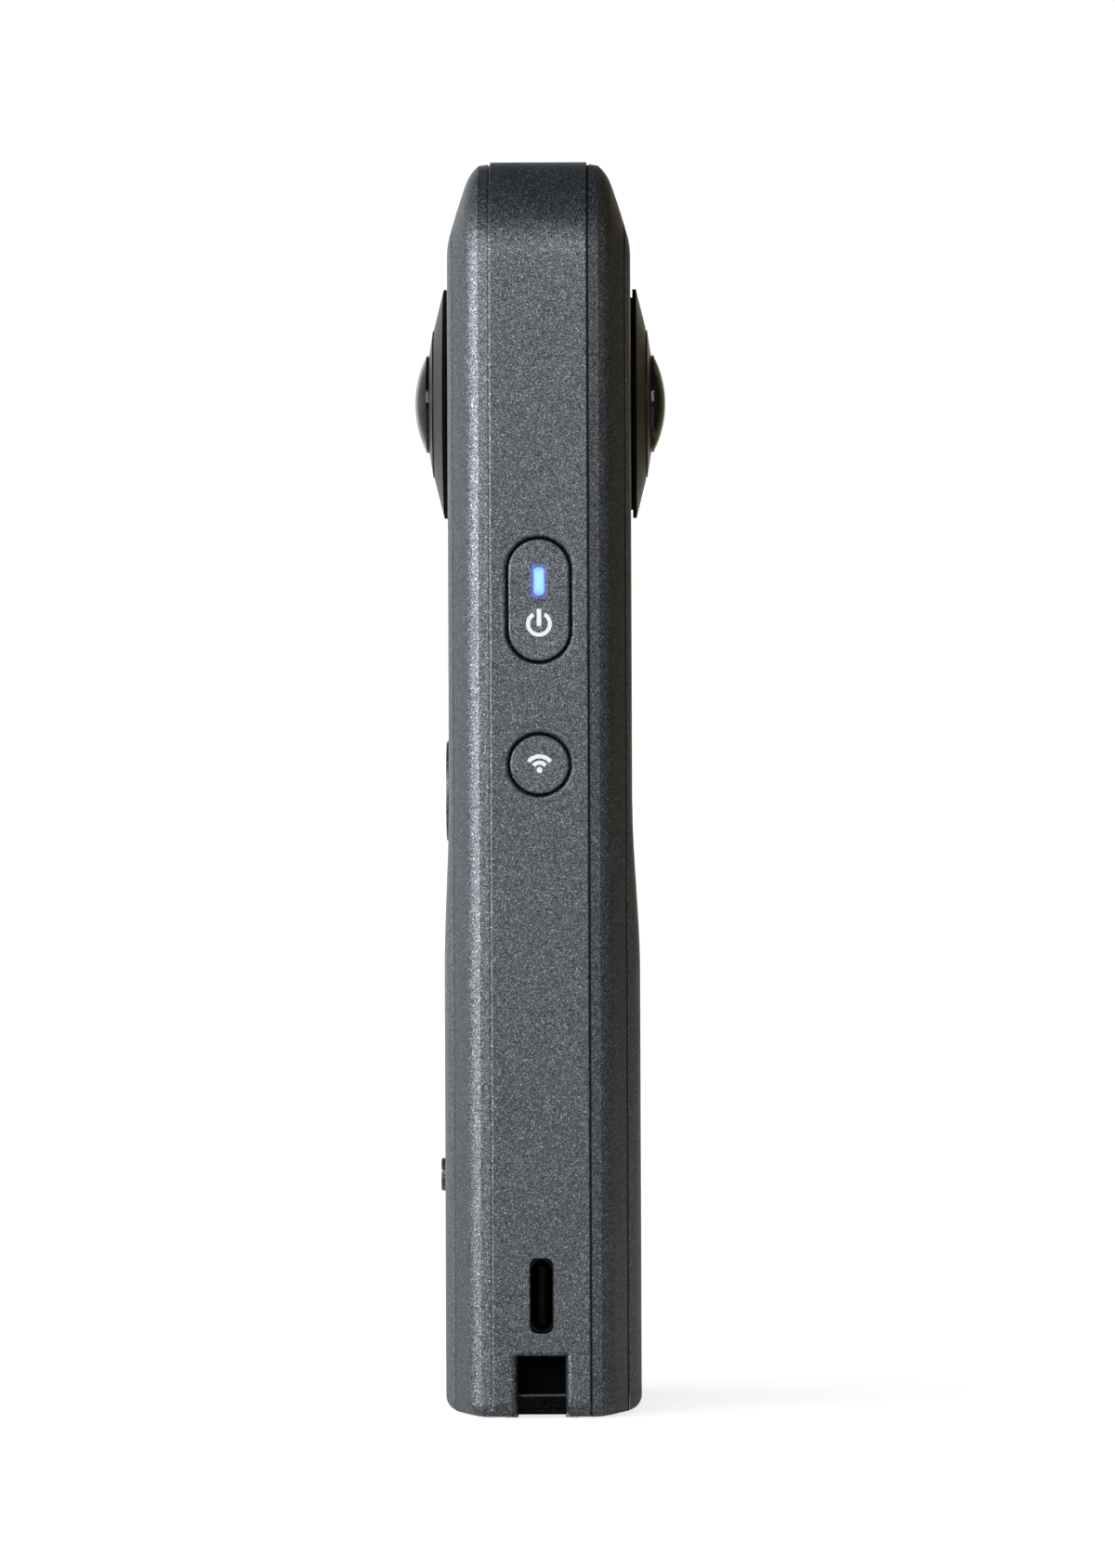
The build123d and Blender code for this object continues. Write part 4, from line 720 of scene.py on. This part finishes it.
black_plastic, tree = blank("grained_black_polymer")
where = add(tree, "TexCoord").outputs["Object"]
grain = add(tree, "TexNoise", {"Vector": where, "Scale": 1 / spark_grain, "Detail": 3.0})
colour = add(tree, "ValToRGB", {"Fac": grain}, ((0.3, "141516"), (0.7, "1D1E20")))
rough = add(tree, "ValToRGB", {"Fac": grain}, ((0.3, 0.5), (0.7, 0.62)))
bump = add(tree, "Bump", {"Height": grain, "Distance": spark_grain_height})
surface = add(tree, "BsdfPrincipled", {"Base Color": colour, "Roughness": rough, "Normal": bump})
add(tree, "OutputMaterial", {"Surface": surface})
dress(black_plastic, "base_plate", "display_holder", "battery_tray", "speaker")

# The display window is polished smoked acrylic, glued in its pocket over the dark display.
# A black print on its back leaves a clear area in the middle, which looks a shade bluer.
window_low, window_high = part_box("display_window")
window_middle = (window_low + window_high) / 2
window_half = (window_high - window_low) / 2
print_border = 1.6 * MM
clear_tone = "12161C"
print_tone = "050505"
haze_size = 4 * MM

smoked, tree = blank("smoked_acrylic_window")
where = add(tree, "TexCoord").outputs["Object"]
beyond = add(tree, "VectorMath", {0: where, 1: window_middle}, operation="SUBTRACT")
beyond = add(tree, "VectorMath", {0: beyond}, operation="ABSOLUTE")
beyond = add(tree, "VectorMath", {0: beyond, 1: window_half}, operation="SUBTRACT")
parts = add(tree, "SeparateXYZ", {0: beyond}).outputs
nearest = add(tree, "Math", {0: parts[0], 1: parts[2]}, operation="MAXIMUM")
border = add(tree, "Math", {0: nearest, 1: -print_border}, operation="GREATER_THAN")
colour = add(tree, "Mix", {0: border, 6: clear_tone, 7: print_tone}, data_type="RGBA").outputs[2]
haze = add(tree, "TexNoise", {"Vector": where, "Scale": 1 / haze_size})
rough = add(tree, "ValToRGB", {"Fac": haze}, ((0.3, 0.04), (0.8, 0.09)))
surface = add(tree, "BsdfPrincipled", {"Base Color": colour, "Roughness": rough, "IOR": 1.49,
                                       "Specular IOR Level": 0.15})
add(tree, "OutputMaterial", {"Surface": surface})
dress(smoked, "display_window")

# Inside, boards are green fibreglass, chips moulded epoxy, cans tinned steel and the heat spreader copper.
# The cell is wrapped in silver-grey film, the chassis is die-cast magnesium and the screws are zinc-plated.
# Each finish varies a little in tone and gloss from place to place, as handled and plated parts do.
inside_grain = 0.6 * MM
inside_finishes = (
    ("green_fibreglass_board", ("1D4A33", "265A40"), 0.0, (0.42, 0.52), ("key_board", "rear_sound_board",
     "side_switch_board", "usb_board", "main_board", "front_sensor_board", "rear_sensor_board")),
    ("black_epoxy_chip", ("111213", "1B1C1E"), 0.0, (0.45, 0.58), ("board_chips", "front_image_sensor",
     "rear_image_sensor", "status_led", "shutter_switch", "mode_switch", "power_switch", "wireless_switch")),
    ("dark_display_glass", ("0A0C12", "0F121A"), 0.0, (0.12, 0.18), ("display_module",)),
    ("tinned_steel_can", ("A9ABAC", "BDBFC0"), 1.0, (0.32, 0.42), ("board_shield", "front_microphones",
     "rear_microphones")),
    ("rolled_copper_sheet", ("A8664A", "B97757"), 1.0, (0.35, 0.45), ("heat_spreader", "antenna")),
    ("silver_cell_film", ("8D9196", "A0A4A8"), 0.6, (0.4, 0.5), ("battery",)),
    ("die_cast_magnesium", ("5E6062", "6E7072"), 0.9, (0.45, 0.6), ("lens_chassis",)),
    ("zinc_plated_steel", ("8F9194", "A7A9AB"), 1.0, (0.3, 0.4), ("shell_screws", "board_screws",
     "key_board_screws", "lens_screws")),
    ("clear_optical_glass", ("C9D4D0", "D6DFDB"), 0.0, (0.04, 0.07), ("front_prism", "rear_prism",
     "front_relay_lens", "rear_relay_lens")))
for name, tones, metallic, gloss, members in inside_finishes:
    finish, tree = blank(name)
    where = add(tree, "TexCoord").outputs["Object"]
    grain = add(tree, "TexNoise", {"Vector": where, "Scale": 1 / inside_grain, "Detail": 3.0})
    colour = add(tree, "ValToRGB", {"Fac": grain}, zip((0.3, 0.7), tones))
    rough = add(tree, "ValToRGB", {"Fac": grain}, zip((0.3, 0.7), gloss))
    surface = add(tree, "BsdfPrincipled", {"Base Color": colour, "Metallic": metallic, "Roughness": rough})
    add(tree, "OutputMaterial", {"Surface": surface})
    dress(finish, *members)

# Behind each sound hole a disc of woven black steel mesh keeps dust out, glued to the back of the wall.
# Its wires are 0.12 mm apart, about the finest that a close view shows.
mesh_pitch = 0.12 * MM
wire_height = 0.02 * MM
screen_thickness = 0.06 * MM
screen_border_share = 0.15
screen_steps = 24
sound_screen_radius = 0.9 * MM
sound_x = 10 * MM
sound_z = {"front": 83.4 * MM, "rear": 88.0 * MM}
cover_back = 9.7 * MM
speaker_screen_radius = 0.49 * MM
speaker_screen_depth = 1.2 * MM
speaker_hole_count = 5
speaker_pitch = 2 * MM

woven, tree = blank("woven_black_mesh")
where = add(tree, "TexCoord").outputs["Object"]
wires = add(tree, "VectorMath", {0: where, "Scale": math.tau / mesh_pitch}, operation="SCALE")
wires = add(tree, "VectorMath", {0: wires}, operation="SINE")
weave = add(tree, "VectorMath", {0: wires}, operation="LENGTH").outputs["Value"]
colour = add(tree, "ValToRGB", {"Fac": weave}, ((0.5, "040404"), (1.0, "1A1B1C")))
bump = add(tree, "Bump", {"Height": weave, "Distance": wire_height})
surface = add(tree, "BsdfPrincipled", {"Base Color": colour, "Roughness": 0.6, "Normal": bump})
add(tree, "OutputMaterial", {"Surface": surface})


def screen(radius, location, rotation):
    """A flat disc with a pressed border."""
    disc = primitive("circle", vertices=screen_steps, radius=radius, fill_type="NGON", location=location,
                     rotation=rotation)
    bpy.ops.object.mode_set(mode="EDIT")
    bpy.ops.mesh.select_all(action="SELECT")
    bpy.ops.mesh.inset(thickness=radius * screen_border_share, depth=0)
    bpy.ops.object.mode_set(mode="OBJECT")
    return disc


for end, side in (("front", -1), ("rear", 1)):
    place = (sound_x, side * cover_back, sound_z[end])
    disc = screen(sound_screen_radius, place, (math.pi / 2, 0, 0))
    other = copied(disc, Matrix.Translation((-2 * sound_x, 0, 0)))
    pair = thicken(join(end + "_sound_mesh", disc, other), screen_thickness)
    settle(pair, woven, "camera_body")

speaker_low, speaker_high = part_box("speaker")
first_z = (speaker_low.z + speaker_high.z) / 2 - (speaker_hole_count - 1) / 2 * speaker_pitch
first_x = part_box("mid_frame")[0].x + speaker_screen_depth
disc = screen(speaker_screen_radius, (first_x, 0, first_z), (0, math.pi / 2, 0))
discs = [disc] + [copied(disc, Matrix.Translation((0, 0, step * speaker_pitch)))
                  for step in range(1, speaker_hole_count)]
settle(thicken(join("speaker_mesh", *discs), screen_thickness), woven, "camera_body")

# The stage is a white floor and a small white backdrop behind the camera body, as in the photograph.
# Gloss and glass see the backdrop as white too; the floor keeps the object's shadow.
floor_size = 1.2
backdrop_size = 0.7
backdrop_distance = 1.6
backdrop_height = 0.1
floor_gap = 0.1 * MM
floor_tone = "F0F0F0"
backdrop_tone = "808080"
floor_glow = 0.78
floor_gloss_share = 0.1


def stage_plane(name, size, location, rotation, colour, glow, gloss_share):
    """One plane of the stage, which glows for the camera, through glass and, by a share, in gloss."""
    plane = primitive("plane", size=size, location=location, rotation=rotation)
    plane.name = name
    material, tree = blank(name + "_white")
    rays = add(tree, "LightPath").outputs
    seen = add(tree, "Math", {0: rays["Is Glossy Ray"], 1: gloss_share}, operation="MULTIPLY")
    for ray in ("Is Camera Ray", "Is Transmission Ray"):
        seen = add(tree, "Math", {0: seen, 1: rays[ray]}, operation="MAXIMUM")
    strength = add(tree, "Math", {0: seen, 1: glow}, operation="MULTIPLY")
    diffuse = add(tree, "BsdfDiffuse", {"Color": colour})
    light = add(tree, "Emission", {"Color": "FFFFFF", "Strength": strength})
    both = add(tree, "AddShader", {0: diffuse, 1: light})
    add(tree, "OutputMaterial", {"Surface": both})
    plane.data.materials.append(material)


stage_plane("floor", floor_size, (0, 0, -floor_gap), (0, 0, 0), floor_tone, glow=floor_glow,
            gloss_share=floor_gloss_share)
stage_plane("backdrop", backdrop_size, (-backdrop_distance, 0, backdrop_height), (0, math.pi / 2, 0),
            backdrop_tone, glow=1.0, gloss_share=1.0)

# The studio round it is dim: grey beside the key light, warm and darker on the rear side, cool overhead.
# Behind the body it is white like the backdrop, and seen directly or through glass it is white all round.
key_side_tones = ((0.0, "707274"), (0.5, "9A9C9E"), (0.8, "8E9092"), (0.92, "B0B2B4"), (0.96, "FFFFFF"))
far_side_tones = ((0.0, "76777A"), (0.45, "9C9A96"), (0.66, "544A38"), (0.88, "191203"), (0.96, "75683F"),
                  (1.0, "FFF6E6"))
overhead_tone = "4E5459"
sides_meet = ((0.45, 0.0), (0.55, 1.0))
walls_end = ((0.35, 0.0), (0.75, 1.0))

world = bpy.data.worlds.new("studio")
bpy.context.scene.world = world
world.use_nodes = True
tree = world.node_tree
tree.nodes.clear()
way = add(tree, "TexCoord").outputs["Generated"]
parts = add(tree, "SeparateXYZ", {0: way}).outputs
back = add(tree, "Math", {0: parts[0], 1: -0.5, 2: 0.5}, operation="MULTIPLY_ADD")
key_side = add(tree, "ValToRGB", {"Fac": back}, key_side_tones)
far_side = add(tree, "ValToRGB", {"Fac": back}, far_side_tones)
side = add(tree, "ValToRGB", {"Fac": add(tree, "Math", {0: parts[1], 1: 0.5}, operation="ADD")}, sides_meet)
walls = add(tree, "Mix", {0: side, 6: key_side, 7: far_side}, data_type="RGBA").outputs[2]
up = add(tree, "ValToRGB", {"Fac": parts[2]}, walls_end)
room = add(tree, "Mix", {0: up, 6: walls, 7: overhead_tone}, data_type="RGBA").outputs[2]
rays = add(tree, "LightPath").outputs
seen = add(tree, "Math", {0: rays["Is Camera Ray"], 1: rays["Is Transmission Ray"]}, operation="MAXIMUM")
dim = add(tree, "Background", {"Color": room, "Strength": 1.0})
white = add(tree, "Background", {"Color": "FFFFFF", "Strength": 1.0})
chosen = add(tree, "MixShader", {0: seen, 1: dim, 2: white})
add(tree, "OutputWorld", {"Surface": chosen})


# Three soft boxes light the camera body: the key straight to its left, one between it and the camera, and a
# fill over the camera. Each stands at an angle left of the camera, in degrees, and a height over the middle.
body_middle = Vector((0, 0, 0.075))


def soft_box(name, distance, left, height, width, tall, radiance, colour):
    """A soft box that faces the middle of the body."""
    data = bpy.data.lights.new(name, "AREA")
    data.shape = "RECTANGLE"
    data.size = width
    data.size_y = tall
    data.energy = radiance * math.pi * width * tall
    data.color = linear(colour)[:3]
    lamp = bpy.data.objects.new(name, data)
    bpy.context.scene.collection.objects.link(lamp)
    angle = math.radians(left)
    lamp.location = body_middle + Vector((distance * math.cos(angle), -distance * math.sin(angle), height))
    lamp.rotation_euler = (body_middle - lamp.location).to_track_quat("-Z", "Y").to_euler()
    lamp.visible_camera = False


soft_box("key_soft_box", distance=1.3, left=84, height=0.02, width=1.1, tall=0.8, radiance=5.2,
         colour="FBFCFF")
soft_box("front_soft_box", distance=1.5, left=50, height=0.25, width=0.7, tall=0.9, radiance=5.2,
         colour="FBFCFF")
soft_box("camera_fill", distance=1.7, left=17, height=0.54, width=1.3, tall=0.85, radiance=3.2,
         colour="FDFDFF")

# The camera looks at the narrow button side from 1.1 m, half a degree off square, as in the photograph.
# The sensor's long side holds the 187.3 mm that the photograph shows at the side face.
photo_height = 187.3 * MM
camera_distance = 1.1
camera_yaw = math.radians(0.45)
camera_roll = math.radians(0.22)
picture_centre = Vector((27.0 * MM, 2.14 * MM, 75.8 * MM))
sensor_width = 36

view = Vector((-math.cos(camera_yaw), -math.sin(camera_yaw), 0))
level = view.cross(Vector((0, 0, 1)))
right = level * math.cos(camera_roll) - Vector((0, 0, 1)) * math.sin(camera_roll)
upward = level * math.sin(camera_roll) + Vector((0, 0, 1)) * math.cos(camera_roll)
lens = bpy.data.cameras.new("photo_camera")
lens.sensor_width = sensor_width
lens.lens = sensor_width * camera_distance / photo_height
lens.clip_start = 0.01
camera = bpy.data.objects.new("photo_camera", lens)
bpy.context.scene.collection.objects.link(camera)
turn = Matrix((right, upward, -view)).transposed()
camera.matrix_world = Matrix.Translation(picture_centre - view * camera_distance) @ turn.to_4x4()
bpy.context.scene.camera = camera
bpy.context.scene.view_settings.view_transform = "Standard"
